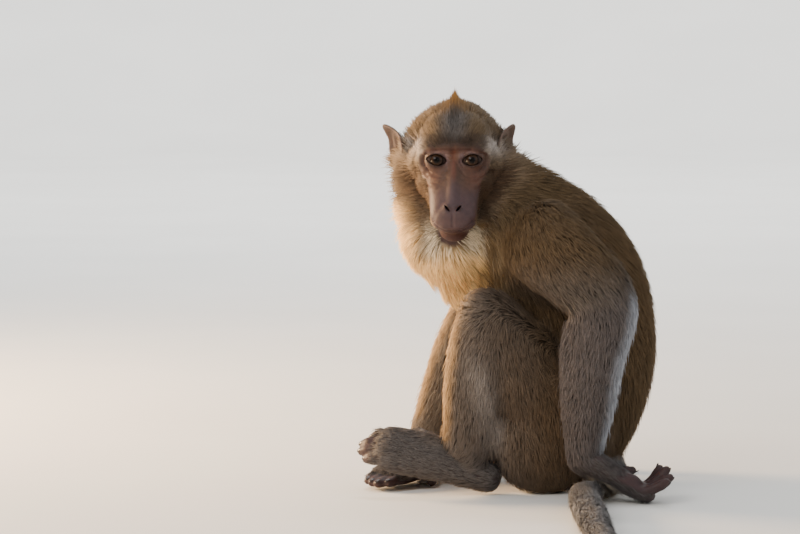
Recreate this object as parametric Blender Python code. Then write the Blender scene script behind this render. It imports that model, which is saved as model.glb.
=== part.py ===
"""Long-tailed macaque, seated, as a still life-size model.

The animal faces -X, with its left side towards -Y and its head turned to look along -Y.
It sits on z = 0.  Each group (head, neck, trunk, arm, leg, tail) is a set of lofts and
ellipsoids fused by a voxel remesh.  Limbs are then parted at their joints, and where two
groups meet the lesser one is cut back to a small clearance from the greater.
Sizes below are in millimetres; MM turns them to metres.
"""

import math

import bmesh
import bpy
from mathutils import Matrix, Vector

MM = 0.001

# ---------------------------------------------------------------- driving sizes
VOXEL = 2.0  # grain of the fused surfaces
CLEARANCE = 0.3  # gap between pieces that touch

EYE_RADIUS = 9.3
EYE_SPACING = 31.0  # between the two pupils
EYE_CLEARANCE = 0.4

# The head's own axes: f forwards out of the face, s to its left, u up.
EYE_LINE = Vector((-93.5, -46.0, 292.5))  # midway between the eyes
HEAD_YAW = math.radians(-3.5)  # turned past -Y towards -X
HEAD_PITCH = math.radians(16.0)  # bowed

FORWARD = Vector(
    (
        math.sin(HEAD_YAW) * math.cos(HEAD_PITCH),
        -math.cos(HEAD_YAW) * math.cos(HEAD_PITCH),
        -math.sin(HEAD_PITCH),
    )
)
LEFT = Vector((math.cos(HEAD_YAW), math.sin(HEAD_YAW), 0.0))
UP = FORWARD.cross(LEFT)
HEAD_TURN = Matrix((FORWARD, LEFT, UP)).transposed()

# Joints of the left side, which is at -Y.
SHOULDER_L = Vector((-20, -44, 224))
ELBOW_L = Vector((34, -90, 172))
WRIST_L = Vector((18, -97, 37))
HIP_L = Vector((6, -40, 50))
KNEE_L = Vector((-63, -55, 157))
ANKLE_L = Vector((-83, -55, 33))

# Joints of the right side, which is at +Y.
SHOULDER_R = Vector((-26, 44, 222))
ELBOW_R = Vector((24, 92, 158))
WRIST_R = Vector((-8, 104, 27))
HIP_R = Vector((8, 40, 50))
KNEE_R = Vector((-63, 56, 156))
ANKLE_R = Vector((-112, 50, 34))

FINGER_RADIUS = 4.8
TOE_RADIUS = 5.4

# Each group's share of the triangles.
TRIANGLES = {"body": 2050, "arm": 600, "leg": 700, "tail": 220}


def on_head(f, s, u):
    """World point of a place given in the head's own axes, measured from between the eyes."""
    return EYE_LINE + f * FORWARD + s * LEFT + u * UP


# ---------------------------------------------------------------- modelling tools
def clear_scene():
    for obj in list(bpy.data.objects):
        bpy.data.objects.remove(obj, do_unlink=True)


def finish_material(name, colour, roughness):
    made = bpy.data.materials.new(name)
    made.use_nodes = True
    shader = made.node_tree.nodes["Principled BSDF"]
    shader.inputs["Base Color"].default_value = (*colour, 1.0)
    shader.inputs["Roughness"].default_value = roughness
    shader.inputs["Metallic"].default_value = 0.0
    made.diffuse_color = (*colour, 1.0)
    return made


def catmull_rom(a, b, c, d, t):
    return 0.5 * (
        2 * b + (c - a) * t + (2 * a - 5 * b + 4 * c - d) * t**2 + (3 * b - a - 3 * c + d) * t**3
    )


def smooth_rows(stations, steps):
    """Stations (centre, side radius, other radius) with steps between them on one smooth curve."""
    ends = [stations[0], *stations, stations[-1]]
    rows = []
    for i in range(1, len(ends) - 2):
        for step in range(steps):
            t = step / steps
            rows.append([catmull_rom(*(ends[i + k][j] for k in (-1, 0, 1, 2)), t) for j in range(3)])
    rows.append(list(stations[-1]))
    return rows


def rounded_ends(rows, angles=(25, 50, 72)):
    """The rows with a dome added past each end."""
    for end, inner in ((0, 1), (-1, -2)):
        centre, side_radius, other_radius = rows[end]
        outward = (centre - rows[inner][0]).normalized()
        reach = (side_radius + other_radius) / 2
        dome = []
        for angle in map(math.radians, angles):
            dome.append(
                [
                    centre + outward * reach * math.sin(angle),
                    side_radius * math.cos(angle),
                    other_radius * math.cos(angle),
                ]
            )
        rows = dome[::-1] + rows if end == 0 else rows + dome
    return rows


def loft(bm, stations, side=(0, 1, 0), steps=4, segments=18):
    """Adds a closed, round-ended limb to bm. A station is (centre, side radius, other radius)."""
    rows = rounded_ends(smooth_rows(stations, steps))
    side = Vector(side)
    rings = []
    for i, (centre, side_radius, other_radius) in enumerate(rows):
        along = (rows[min(i + 1, len(rows) - 1)][0] - rows[max(i - 1, 0)][0]).normalized()
        across = (side - side.dot(along) * along).normalized()
        other = along.cross(across)
        ring = []
        for k in range(segments):
            turn = 2 * math.pi * k / segments
            offset = across * side_radius * math.cos(turn) + other * other_radius * math.sin(turn)
            ring.append(bm.verts.new((centre + offset) * MM))
        rings.append(ring)
    for lower, upper in zip(rings, rings[1:]):
        for k in range(segments):
            n = (k + 1) % segments
            bm.faces.new((lower[k], lower[n], upper[n], upper[k]))
    bm.faces.new(rings[0][::-1])
    bm.faces.new(rings[-1])


def ellipsoid(bm, centre, radii, turn=None, detail=4):
    """Adds an ellipsoid to bm, with its radii along the world's axes or along turn's."""
    place = Matrix.Translation(Vector(centre) * MM)
    spin = (turn or Matrix.Identity(3)).to_4x4()
    size = Matrix.Diagonal((*(r * MM for r in radii), 1.0))
    bmesh.ops.create_icosphere(bm, subdivisions=detail, radius=1.0, matrix=place @ spin @ size)


def object_from(bm, name):
    bmesh.ops.recalc_face_normals(bm, faces=bm.faces)
    mesh = bpy.data.meshes.new(name)
    bm.to_mesh(mesh)
    bm.free()
    obj = bpy.data.objects.new(name, mesh)
    bpy.context.scene.collection.objects.link(obj)
    return obj


def remove(*objects):
    for obj in objects:
        bpy.data.objects.remove(obj, do_unlink=True)


def settle(obj):
    """Turns the object's modifiers into its own mesh."""
    bpy.context.view_layer.update()
    graph = bpy.context.evaluated_depsgraph_get()
    mesh = bpy.data.meshes.new_from_object(obj.evaluated_get(graph))
    obj.modifiers.clear()
    obj.data = mesh


def boolean(obj, other, operation):
    change = obj.modifiers.new(operation.title(), "BOOLEAN")
    change.operation = operation
    change.object = other
    settle(obj)


def copy_of(obj, name):
    twin = obj.copy()
    twin.data = obj.data.copy()
    twin.name = name
    bpy.context.scene.collection.objects.link(twin)
    return twin


def grown(obj, amount=CLEARANCE):
    """A copy of the object, larger by amount all round."""
    twin = copy_of(obj, "grown")
    swell = twin.modifiers.new("Swell", "DISPLACE")
    swell.strength = amount * MM
    swell.mid_level = 0.0
    settle(twin)
    return twin


def largest_body(obj):
    """Drops every loose chip of the object but its largest body."""
    bm = bmesh.new()
    bm.from_mesh(obj.data)
    bmesh.ops.remove_doubles(bm, verts=bm.verts, dist=0.02 * MM)
    bmesh.ops.dissolve_degenerate(bm, edges=bm.edges, dist=0.01 * MM)
    stray = [edge for edge in bm.edges if not edge.link_faces]
    bmesh.ops.delete(bm, geom=stray, context="EDGES")
    bmesh.ops.triangulate(bm, faces=bm.faces)
    left = set(bm.verts)
    bodies = []
    while left:
        search = [left.pop()]
        body = set(search)
        while search:
            vert = search.pop()
            for edge in vert.link_edges:
                other = edge.other_vert(vert)
                if other in left:
                    left.discard(other)
                    body.add(other)
                    search.append(other)
        bodies.append(body)
    bodies.sort(key=len)
    for body in bodies[:-1]:
        print(f"{obj.name}: dropped a chip of {len(body)} corners")
        bmesh.ops.delete(bm, geom=list(body), context="VERTS")
    bm.to_mesh(obj.data)
    bm.free()


def cut_back(obj, *greater):
    """Cuts the object back to the clearance from each of the greater ones."""
    for other in greater:
        swollen = grown(other)
        boolean(obj, swollen, "DIFFERENCE")
        remove(swollen)
    largest_body(obj)


def floor_clip(obj):
    """Leaves what is above z = 0, which gives each part that rests on the floor its small flat."""
    bm = bmesh.new()
    place = Matrix.Translation((0, 0, 1.0)) @ Matrix.Diagonal((2, 2, 2, 1))
    bmesh.ops.create_cube(bm, size=1.0, matrix=place)
    half_space = object_from(bm, "half_space")
    boolean(obj, half_space, "INTERSECT")
    remove(half_space)


def fuse(bm, name, triangles, smoothing=4):
    """One closed skin round everything in bm, smoothed, thinned and clipped to the floor."""
    obj = object_from(bm, name)
    remesh = obj.modifiers.new("Fuse", "REMESH")
    remesh.mode = "VOXEL"
    remesh.voxel_size = VOXEL * MM
    relax = obj.modifiers.new("Relax", "SMOOTH")
    relax.factor = 0.5
    relax.iterations = smoothing
    settle(obj)
    faces = sum(len(p.vertices) - 2 for p in obj.data.polygons)
    thin = obj.modifiers.new("Thin", "DECIMATE")
    thin.ratio = min(1.0, triangles / faces)
    settle(obj)
    floor_clip(obj)
    return obj


def split(obj, point, normal, ahead_name, behind_name):
    """Parts the object at a plane, and returns what is ahead of it and what is behind."""
    normal = Vector(normal).normalized()
    turn = normal.to_track_quat("Z", "Y").to_matrix().to_4x4()
    halves = []
    for sign, name in ((1, ahead_name), (-1, behind_name)):
        bm = bmesh.new()
        middle = (Vector(point) + normal * sign * (300 + CLEARANCE / 2)) * MM
        bmesh.ops.create_cube(bm, size=0.6, matrix=Matrix.Translation(middle) @ turn)
        block = object_from(bm, "block")
        half = copy_of(obj, name)
        boolean(half, block, "INTERSECT")
        largest_body(half)
        remove(block)
        halves.append(half)
    remove(obj)
    return halves


def bisector(joint, one_end, other_end):
    """Normal of the plane that halves a bent joint, on the side of one_end."""
    return ((one_end - joint).normalized() - (other_end - joint).normalized()).normalized()


# ---------------------------------------------------------------- head, neck and trunk
def add_trunk(bm):
    """Chest, back, belly and rump: one loft along the hunched spine, as seen from the side."""
    loft(
        bm,
        [
            (Vector((-40, 0, 226)), 46, 55),
            (Vector((-20, 0, 213)), 54, 66),
            (Vector((14, 0, 180)), 57, 64),
            (Vector((31, 0, 125)), 55, 57),
            (Vector((29, 0, 72)), 52, 48),
            (Vector((22, 0, 36)), 46, 36),
        ],
        steps=5,
        segments=24,
    )
    ellipsoid(bm, (-76, 0, 190), (38, 25, 36))  # breast, which hangs between the knees
    ellipsoid(bm, (0, 0, 42), (42, 44, 47))  # belly, which sits on the floor between the thighs


def add_neck(bm):
    loft(
        bm,
        [
            (Vector((-20, 0, 236)), 40, 48),
            (Vector((-50, 2, 254)), 33, 46),
            (Vector((-78, 0, 280)), 32, 38),
        ],
    )
    ellipsoid(bm, (-98, -6, 222), (45, 36, 42))  # long coat of the throat
    ellipsoid(bm, (-112, -2, 246), (36, 30, 30))  # where it meets the right cheek


def add_head(bm):
    """Skull, brow, cheeks, muzzle and jaw in the head's own axes, with their coat."""

    def blob(f, s, u, radii):
        for sign in (-1, 1) if s else (1,):
            ellipsoid(bm, on_head(f, sign * s, u), radii, HEAD_TURN)

    def bar(stations):
        loft(bm, [(on_head(f, s, u), a, b) for f, s, u, a, b in stations], side=LEFT)

    blob(-38, 0, 3, (44, 36, 40))  # cranium
    ellipsoid(bm, on_head(-46, -2.5, 0), (32, 47, 38), HEAD_TURN)  # longer coat at its sides
    blob(-36, 34, -26, (24, 25, 30))  # cheek ruffs
    blob(-36, 26, -46, (26, 28, 26))  # and their lower ends
    blob(-20, 0, 18, (25, 29, 22))  # forehead
    blob(-18, 24, -8, (18, 17, 18))  # cheekbones
    blob(-8, 19, -22, (20, 15, 17))  # cheeks
    blob(-2, 12, -40, (20, 11, 14))  # and their lower ends, by the corners of the mouth
    brow = []
    for s in (-25, -14, 0, 14, 25):
        reach = 1 - (s / 25) ** 2
        brow.append((on_head(-6 + 10 * reach, s, 9 + 5 * reach), 7, 8))
    loft(bm, brow, side=UP)
    bar([(-14, 0, -10, 34, 26), (2, 0, -18, 27, 17), (12, 0, -30, 22, 15.5), (26, 0, -41, 18, 13.5)])
    bar([(2, 0, -3, 7.5, 8), (13, 0, -15, 7.5, 8), (23, 0, -27, 8, 8)])  # bridge of the nose
    blob(29, 0, -32, (7, 10.5, 6.5))  # tip of the nose
    bar([(-22, 0, -44, 26, 17), (4, 0, -51, 17.5, 14), (17, 0, -57.5, 12.5, 11)])  # jaw
    bar([(-24, 0, 34, 11, 11), (-27, 0, 44, 5.5, 5.5), (-30, 0, 55, 2.6, 2.6)])  # crest


def body():
    """Head, neck and trunk, fused and then parted by two planes."""
    bm = bmesh.new()
    add_trunk(bm)
    add_neck(bm)
    add_head(bm)
    whole = fuse(bm, "body", TRIANGLES["body"], smoothing=3)
    skull, rest = split(whole, (-95, -62, 213), (-0.35, -0.49, 0.80), "head", "rest")
    throat, torso = split(rest, (0, 0, 266), (-0.61, 0, 0.79), "neck", "trunk")
    return skull, throat, torso


def ear(sign, apart, splay, flare):
    """A cupped plate, pointed at its top back corner, standing off the head by splay degrees.

    flare is how far, in mm, the point is drawn out to the side.
    """
    height, width, thickness = 18.5, 15.0, 2.6
    splay = math.radians(splay)
    rearwards = -FORWARD * math.cos(splay) + LEFT * sign * math.sin(splay)
    outwards = LEFT * sign * math.cos(splay) + FORWARD * math.sin(splay)
    centre = on_head(-38, sign * apart, -5) + rearwards * 6
    bm = bmesh.new()
    rings, segments = 3, 16
    middle = bm.verts.new((centre - outwards * 5) * MM)
    previous = None
    for ring in range(1, rings + 1):
        share = ring / rings
        verts = []
        for k in range(segments):
            turn = 2 * math.pi * k / segments
            back, up = math.cos(turn), math.sin(turn)
            point = 0.38 * max(0.0, math.cos(turn - math.radians(58))) ** 9
            reach = share * (1 + point)
            flat = centre + rearwards * back * width * reach + UP * up * height * reach
            drawn = flare * (point / 0.38) * share**4
            verts.append(bm.verts.new((flat + outwards * (drawn - 5 * (1 - share**2))) * MM))
        for k in range(segments):
            n = (k + 1) % segments
            if previous:
                bm.faces.new((previous[k], previous[n], verts[n], verts[k]))
            else:
                bm.faces.new((middle, verts[n], verts[k]))
        previous = verts
    plate = object_from(bm, "ear_left" if sign > 0 else "ear_right")
    shell = plate.modifiers.new("Shell", "SOLIDIFY")
    shell.thickness = thickness * MM
    shell.offset = 0.0
    settle(plate)
    return plate


def ball(centre, radius, name="ball"):
    bm = bmesh.new()
    place = Matrix.Translation(centre * MM) @ FORWARD.to_track_quat("Z", "Y").to_matrix().to_4x4()
    bmesh.ops.create_uvsphere(bm, u_segments=12, v_segments=8, radius=radius * MM, matrix=place)
    return object_from(bm, name)


# ---------------------------------------------------------------- limbs and tail
def digit(bm, root, towards, curl_towards, lengths, curls, radius):
    """A finger or toe: each bone turns by its curl towards curl_towards."""
    direction = towards.normalized()
    axis = direction.cross(curl_towards).normalized()
    point = root.copy()
    stations = [(point.copy(), radius * 1.02, radius)]
    for bone, curl in zip(lengths, curls):
        direction = Matrix.Rotation(math.radians(curl), 3, axis) @ direction
        point = point + direction * bone
        stations.append((point.copy(), radius * 0.97, radius * 0.9))
    loft(bm, stations, side=axis, steps=2, segments=10)


def hand(bm, wrist, knuckles, palmar, thumb_side, curls, spread=3.0):
    """Palm, four fingers and thumb. palmar points out of the palm, thumb_side towards the thumb."""
    forwards = (knuckles - wrist).normalized()
    across = (thumb_side - thumb_side.dot(forwards) * forwards).normalized()
    middle = wrist.lerp(knuckles, 0.5)
    loft(bm, [(wrist, 13, 13), (middle, 18, 10.5), (knuckles, 19.5, 8)], side=across)
    for offset, length, curl in zip((14.5, 5.0, -4.8, -13.8), (27, 32, 30, 24), curls):
        fan = math.radians(spread * offset / 5)
        towards = forwards * math.cos(fan) + across * math.sin(fan)
        bones = (length * 0.46, length * 0.3, length * 0.24)
        digit(bm, knuckles + across * offset, towards, palmar, bones, curl, FINGER_RADIUS)
    thumb_root = wrist.lerp(knuckles, 0.45) + across * 14
    thumb_way = forwards * 0.75 + across * 0.6 + palmar * 0.2
    digit(bm, thumb_root, thumb_way, palmar, (14, 10), (5, 15), FINGER_RADIUS * 1.05)


def foot(bm, heel, ball_of_foot, sole, big_toe_side, curl, lengths):
    """Sole, four toes and the big toe, which stands apart as a thumb does."""
    forwards = (ball_of_foot - heel).normalized()
    across = (big_toe_side - big_toe_side.dot(forwards) * forwards).normalized()
    arch = heel.lerp(ball_of_foot, 0.5) - sole * 3
    loft(bm, [(heel, 13, 13), (arch, 18.5, 13), (ball_of_foot, 23, 10)], side=across)
    for offset, length in zip((15.0, 5.0, -5.0, -14.5), lengths):
        fan = math.radians(offset / 3)
        towards = forwards * math.cos(fan) + across * math.sin(fan)
        bones = (length * 0.45, length * 0.3, length * 0.25)
        digit(bm, ball_of_foot + across * offset, towards, sole, bones, curl, TOE_RADIUS)
    toe_root = heel.lerp(ball_of_foot, 0.52) + across * 15
    toe_way = forwards * 0.8 + across * 0.45 + sole * 0.25
    digit(bm, toe_root, toe_way, sole, (20, 15), (5, 25), TOE_RADIUS * 1.15)


def arm(side, shoulder, elbow, wrist, hand_shape, wrist_normal):
    """Upper arm, forearm and hand, fused and then parted at elbow and wrist."""
    outwards = math.copysign(1, shoulder.y)
    upper = (shoulder + elbow) / 2 + Vector((0, 4 * outwards, 4))
    bm = bmesh.new()
    loft(
        bm,
        [
            (shoulder, 27, 39),
            (upper, 26, 36),
            (elbow, 23, 31),
            (elbow.lerp(wrist, 0.3) + Vector((-3, 0, 0)), 23, 29.5),
            (elbow.lerp(wrist, 0.68) + Vector((-2, 0, 0)), 18.5, 24),
            (wrist, 13.5, 15),
        ],
    )
    hand(bm, wrist, *hand_shape)
    whole = fuse(bm, "arm", TRIANGLES["arm"])
    upper_arm, rest = split(
        whole, elbow, bisector(elbow, shoulder, wrist), f"upper_arm_{side}", "rest"
    )
    forearm, paw = split(rest, wrist + Vector((0, 0, 4)), wrist_normal, f"forearm_{side}", f"hand_{side}")
    return [upper_arm, forearm, paw]


def leg(side, hip, knee, ankle, foot_shape, ankle_normal):
    """Thigh, shin and foot, fused and then parted at knee and ankle."""
    outwards = math.copysign(1, hip.y)
    thigh_middle = hip.lerp(knee, 0.5) + Vector((4, 2 * outwards, 2))
    bm = bmesh.new()
    loft(bm, [(hip, 33, 45), (thigh_middle, 31, 40), (knee, 24, 26)])
    # the haunch, which spreads on the floor beside the belly
    ellipsoid(bm, hip + Vector((-22, 5 * outwards, -2)), (46, 30, 51))
    loft(
        bm,
        [
            (knee, 24, 28),
            (knee.lerp(ankle, 0.32) + Vector((-4, 0, 0)), 23, 27.5),
            (knee.lerp(ankle, 0.66) + Vector((-3, 0, 0)), 20, 24.5),
            (ankle, 17, 20.5),
        ],
    )
    foot(bm, *foot_shape)
    whole = fuse(bm, "leg", TRIANGLES["leg"])
    thigh, rest = split(
        whole, knee + Vector((2, 0, -12)), (0.99, -0.1 * outwards, 0.1), f"thigh_{side}", "rest"
    )
    shin, paw = split(rest, ankle + Vector((0, 0, 4)), ankle_normal, f"shin_{side}", f"foot_{side}")
    return [thigh, shin, paw]


TAIL_LINE = (
    # centre and radius: from the rump, under the left wrist, and out along the floor
    ((34, 6, 28), 16),
    ((48, -24, 16), 14.5),
    ((44, -60, 12), 12.5),
    ((27, -97, 10.5), 11),
    ((16, -140, 12), 13),
    ((15, -200, 13), 14),
    ((17, -270, 12.5), 13.5),
    ((18, -335, 11.5), 12.5),
    ((22, -390, 10), 11),
    ((24, -440, 8), 9),
    ((18, -482, 6), 7),
)


def tail():
    """The tail in five lengths, from its root to its tip."""
    bm = bmesh.new()
    loft(bm, [(Vector(centre), radius, radius * 0.97) for centre, radius in TAIL_LINE], side=(1, 0, 0))
    rest = fuse(bm, "tail", TRIANGLES["tail"])
    lengths = []
    for number, before in enumerate((1, 4, 6, 8), start=1):
        start, end = Vector(TAIL_LINE[before][0]), Vector(TAIL_LINE[before + 1][0])
        rest, nearer = split(rest, start.lerp(end, 0.8), end - start, "rest", f"tail_{number}")
        lengths.append(nearer)
    rest.name = "tail_5"
    return [*lengths, rest]


def seat_pad(sign, extra=0.0):
    """Bare callosity that takes the animal's weight when it sits."""
    bm = bmesh.new()
    radii = [radius + extra for radius in (19, 12, 13)]
    ellipsoid(bm, (38, sign * 19, 11), radii, detail=2)
    return object_from(bm, "seat_pad_left" if sign < 0 else "seat_pad_right")


# ---------------------------------------------------------------- the animal
def left_hand():
    """It lies on its back: palm up, fingers behind the animal."""
    curls = ((38, 25, 15), (30, 20, 12), (26, 16, 10), (44, 26, 14))
    return Vector((68, -101, 10)), Vector((0.5, 0, 0.86)), Vector((0, 1, 0)), curls


def right_hand():
    """It is flat on the floor, fingers forwards."""
    return Vector((-44, 110, 10)), Vector((0, 0, -1)), Vector((0, -1, 0)), ((2, 6, 6),) * 4


def left_foot():
    """It is rolled so that its top shows, with its toes over those of the right foot."""
    sole, big_toe_side = Vector((0.1, 0.80, -0.58)), Vector((0, 0.58, 0.80))
    lengths = (26, 30, 28, 24)
    return Vector((-64, -53, 14)), Vector((-146, -60, 40)), sole, big_toe_side, (12, 22, 22), lengths


def right_foot():
    """It is flat on the floor and turned across the body."""
    sole, big_toe_side = Vector((0, 0, -1)), Vector((1, -0.5, 0))
    lengths = (30, 34, 32, 27)
    return Vector((-100, 66, 13)), Vector((-146, -8, 10.5)), sole, big_toe_side, (0, 10, 14), lengths


def main():
    clear_scene()
    skull, throat, torso = body()
    arms = arm("left", SHOULDER_L, ELBOW_L, WRIST_L, left_hand(), (-0.42, 0, 0.9))
    arms += arm("right", SHOULDER_R, ELBOW_R, WRIST_R, right_hand(), (0.3, -0.07, 0.95))
    legs = leg("left", HIP_L, KNEE_L, ANKLE_L, left_foot(), (0.35, 0, 0.94))
    legs += leg("right", HIP_R, KNEE_R, ANKLE_R, right_foot(), (0.37, 0.03, 0.93))
    tails = tail()

    pads = []
    for sign in (-1, 1):
        hollow = seat_pad(sign, CLEARANCE)
        boolean(torso, hollow, "DIFFERENCE")
        remove(hollow)
        pad = seat_pad(sign)
        floor_clip(pad)
        pads.append(pad)

    eyes = []
    for name, sign in (("eye_left", 1), ("eye_right", -1)):
        place = on_head(-1.0, sign * EYE_SPACING / 2, 0)
        eyes.append(ball(place, EYE_RADIUS, name))
        socket = ball(place, EYE_RADIUS + EYE_CLEARANCE)
        boolean(skull, socket, "DIFFERENCE")
        remove(socket)
    largest_body(skull)

    ears = [ear(1, 43, 24, 4.0), ear(-1, 52, 30, 7.0)]
    for plate in ears:
        cut_back(plate, skull)

    # where a limb meets the body, the limb gives way
    for piece in legs[0], legs[3]:
        cut_back(piece, torso, *pads)
    for piece in arms[0], arms[3]:
        cut_back(piece, torso, throat, skull)
    for piece in arms[1], arms[4]:
        cut_back(piece, torso, legs[0], legs[3])
    cut_back(tails[0], torso, *pads)
    cut_back(tails[1], arms[2])
    cut_back(legs[2], legs[5])
    cut_back(legs[2], legs[0])

    finishes = {
        "coat_brown": finish_material("coat_brown", (0.20, 0.135, 0.075), 0.8),
        "coat_grey": finish_material("coat_grey", (0.21, 0.17, 0.135), 0.8),
        "bare_skin": finish_material("bare_skin", (0.10, 0.065, 0.06), 0.55),
        "eye": finish_material("eye", (0.05, 0.025, 0.012), 0.1),
    }

    def finish_of(name):
        if name.startswith("eye"):
            return "eye"
        if name.startswith(("hand", "foot", "seat_pad", "ear")):
            return "bare_skin"
        if name.startswith(("trunk", "neck", "head", "upper_arm")):
            return "coat_brown"
        return "coat_grey"

    for obj in [torso, skull, throat, *arms, *legs, *tails, *pads, *eyes, *ears]:
        obj.data.name = obj.name
        obj.data.materials.clear()
        obj.data.materials.append(finishes[finish_of(obj.name)])
        obj.data.shade_smooth()
        obj.data.set_sharp_from_angle(angle=math.radians(50))


main()
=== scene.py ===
# %% [markdown]
# # A long-tailed macaque: skin, eyes, nails and a coat of real mesh hair
#
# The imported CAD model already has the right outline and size, out to the tips of the hair. Here it
# becomes an animal. A single skin lies inside it by the depth of the coat. The head, hands and feet
# are made finer than the CAD, and many thousands of thin locks grow out of the skin to the CAD's
# outline. Sizes are in millimetres until the moment a mesh is written, because hair, folds and
# pores are easiest to judge in millimetres.

# %% Load the frame
import math

import bmesh
import bpy
import numpy as np
from mathutils import Matrix, Vector
from mathutils.bvhtree import BVHTree
from mathutils.kdtree import KDTree


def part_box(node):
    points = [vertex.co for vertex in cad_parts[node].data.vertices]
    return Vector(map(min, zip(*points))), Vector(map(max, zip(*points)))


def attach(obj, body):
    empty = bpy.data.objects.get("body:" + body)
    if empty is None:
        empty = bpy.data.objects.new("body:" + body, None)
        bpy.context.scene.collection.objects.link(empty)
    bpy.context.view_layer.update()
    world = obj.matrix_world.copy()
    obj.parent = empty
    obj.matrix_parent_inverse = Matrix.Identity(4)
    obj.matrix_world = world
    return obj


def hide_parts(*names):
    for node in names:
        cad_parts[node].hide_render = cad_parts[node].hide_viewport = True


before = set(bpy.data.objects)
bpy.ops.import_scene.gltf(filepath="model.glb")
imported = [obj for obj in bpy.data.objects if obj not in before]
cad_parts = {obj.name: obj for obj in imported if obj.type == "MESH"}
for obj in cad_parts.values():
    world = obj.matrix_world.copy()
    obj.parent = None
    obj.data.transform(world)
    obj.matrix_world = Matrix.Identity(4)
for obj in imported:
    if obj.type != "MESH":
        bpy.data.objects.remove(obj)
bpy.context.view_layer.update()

MM = 0.001
SIDES = ("left", "right")
CHANCE = np.random.default_rng(7)

# %% [markdown]
# ## Where things are
#
# The skeleton is a handful of named joints, as in the CAD script. The head has its own axes: f
# forwards out of the face, s to the animal's left and u up, measured from between the eyes. The two
# eye nodes of the CAD model say where that is. It could all be typed in world coordinates instead,
# but a face is symmetrical about its own middle, not about the world's.

# %% Head axes
def middle_of(node):
    low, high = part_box(node)
    return (low + high) / 2 / MM


EYE_RADIUS = 9.3
HEAD_YAW = math.radians(-3.5)
HEAD_PITCH = math.radians(16.0)  # the head is bowed by this much
GAZE_RISE = math.radians(5)  # and the eyes look up by this much
FORWARD = Vector((
    math.sin(HEAD_YAW) * math.cos(HEAD_PITCH),
    -math.cos(HEAD_YAW) * math.cos(HEAD_PITCH),
    -math.sin(HEAD_PITCH),
))
LEFT = Vector((math.cos(HEAD_YAW), math.sin(HEAD_YAW), 0.0))
UP = FORWARD.cross(LEFT)
HEAD_TURN = Matrix((FORWARD, LEFT, UP)).transposed()
EYES = {side: middle_of(f"eye_{side}") for side in SIDES}
EYE_LINE = (EYES["left"] + EYES["right"]) / 2 + FORWARD * 1.0
GAZE = Vector((0.0, -math.cos(GAZE_RISE), math.sin(GAZE_RISE)))


def on_head(f, s, u):
    """World point, in mm, of a place in the head's own axes."""
    return EYE_LINE + f * FORWARD + s * LEFT + u * UP


print("between the eyes", [round(c, 1) for c in EYE_LINE])

# %% Joints
SHOULDER = {"left": Vector((-20, -44, 224)), "right": Vector((-26, 44, 222))}
ELBOW = {"left": Vector((34, -90, 172)), "right": Vector((24, 92, 158))}
WRIST = {"left": Vector((18, -97, 37)), "right": Vector((-8, 104, 27))}
KNUCKLES = {"left": Vector((68, -101, 10)), "right": Vector((-44, 110, 10))}
HIP = {"left": Vector((6, -40, 50)), "right": Vector((8, 40, 50))}
KNEE = {"left": Vector((-63, -55, 157)), "right": Vector((-63, 56, 156))}
ANKLE = {"left": Vector((-83, -55, 33)), "right": Vector((-112, 50, 34))}
HEEL = {"left": Vector((-64, -53, 14)), "right": Vector((-100, 66, 13))}
BALL = {"left": Vector((-146, -60, 40)), "right": Vector((-146, -8, 10.5))}
SPINE = [
    on_head(-45, 0, 10), (-38, 0, 246), (0, 0, 222), (38, 0, 178), (52, 0, 120), (46, 0, 60), (34, 0, 25),
]
TAIL_LINE = [
    (34, 6, 28), (48, -24, 16), (44, -60, 12), (27, -97, 10.5), (16, -140, 12), (15, -200, 13),
    (17, -270, 12.5), (18, -335, 11.5), (22, -390, 10), (24, -440, 8), (18, -482, 6),
]
SEAT_PADS = [(38, y, 11) for y in (-19, 19)]
SEAT_PAD_RADII = (15, 10, 9)
print("left knee", tuple(KNEE["left"]), "mm, left elbow", tuple(ELBOW["left"]), "mm")

# %% [markdown]
# ## Modelling tools
#
# Flesh is easiest to build from many overlapping rounded shapes that are then fused into one skin
# by a voxel remesh. Sculpting by hand would do as well, but shapes with named sizes can be corrected
# one number at a time.

# %% Smooth rows
def catmull_rom(a, b, c, d, t):
    """The value a share t of the way from b to c, on a curve through all four."""
    return 0.5 * (
        2 * b + (c - a) * t + (2 * a - 5 * b + 4 * c - d) * t**2 + (3 * b - a - 3 * c + d) * t**3
    )


def smooth_rows(stations, steps):
    """Stations (centre, side radius, other radius), with steps between them on a smooth curve."""
    ends = [stations[0], *stations, stations[-1]]
    rows = []
    for i in range(1, len(ends) - 2):
        for step in range(steps):
            t = step / steps
            rows.append([catmull_rom(*(ends[i + k][j] for k in (-1, 0, 1, 2)), t) for j in range(3)])
    rows.append(list(stations[-1]))
    return rows


def rounded_ends(rows, angles=(20, 40, 58, 75)):
    """The rows with a dome added past each end."""
    for end, inner in ((0, 1), (-1, -2)):
        centre, side_radius, other_radius = rows[end]
        outward = (centre - rows[inner][0]).normalized()
        reach = (side_radius + other_radius) / 2
        dome = []
        for angle in map(math.radians, angles):
            shrink = math.cos(angle)
            apex = centre + outward * reach * math.sin(angle)
            dome.append([apex, side_radius * shrink, other_radius * shrink])
        rows = dome[::-1] + rows if end == 0 else rows + dome
    return rows


# %% Limbs from rows
def banded(bm, lower, upper):
    """Faces between two rings of corners."""
    for k in range(len(lower)):
        n = (k + 1) % len(lower)
        bm.faces.new((lower[k], lower[n], upper[n], upper[k]))


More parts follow.
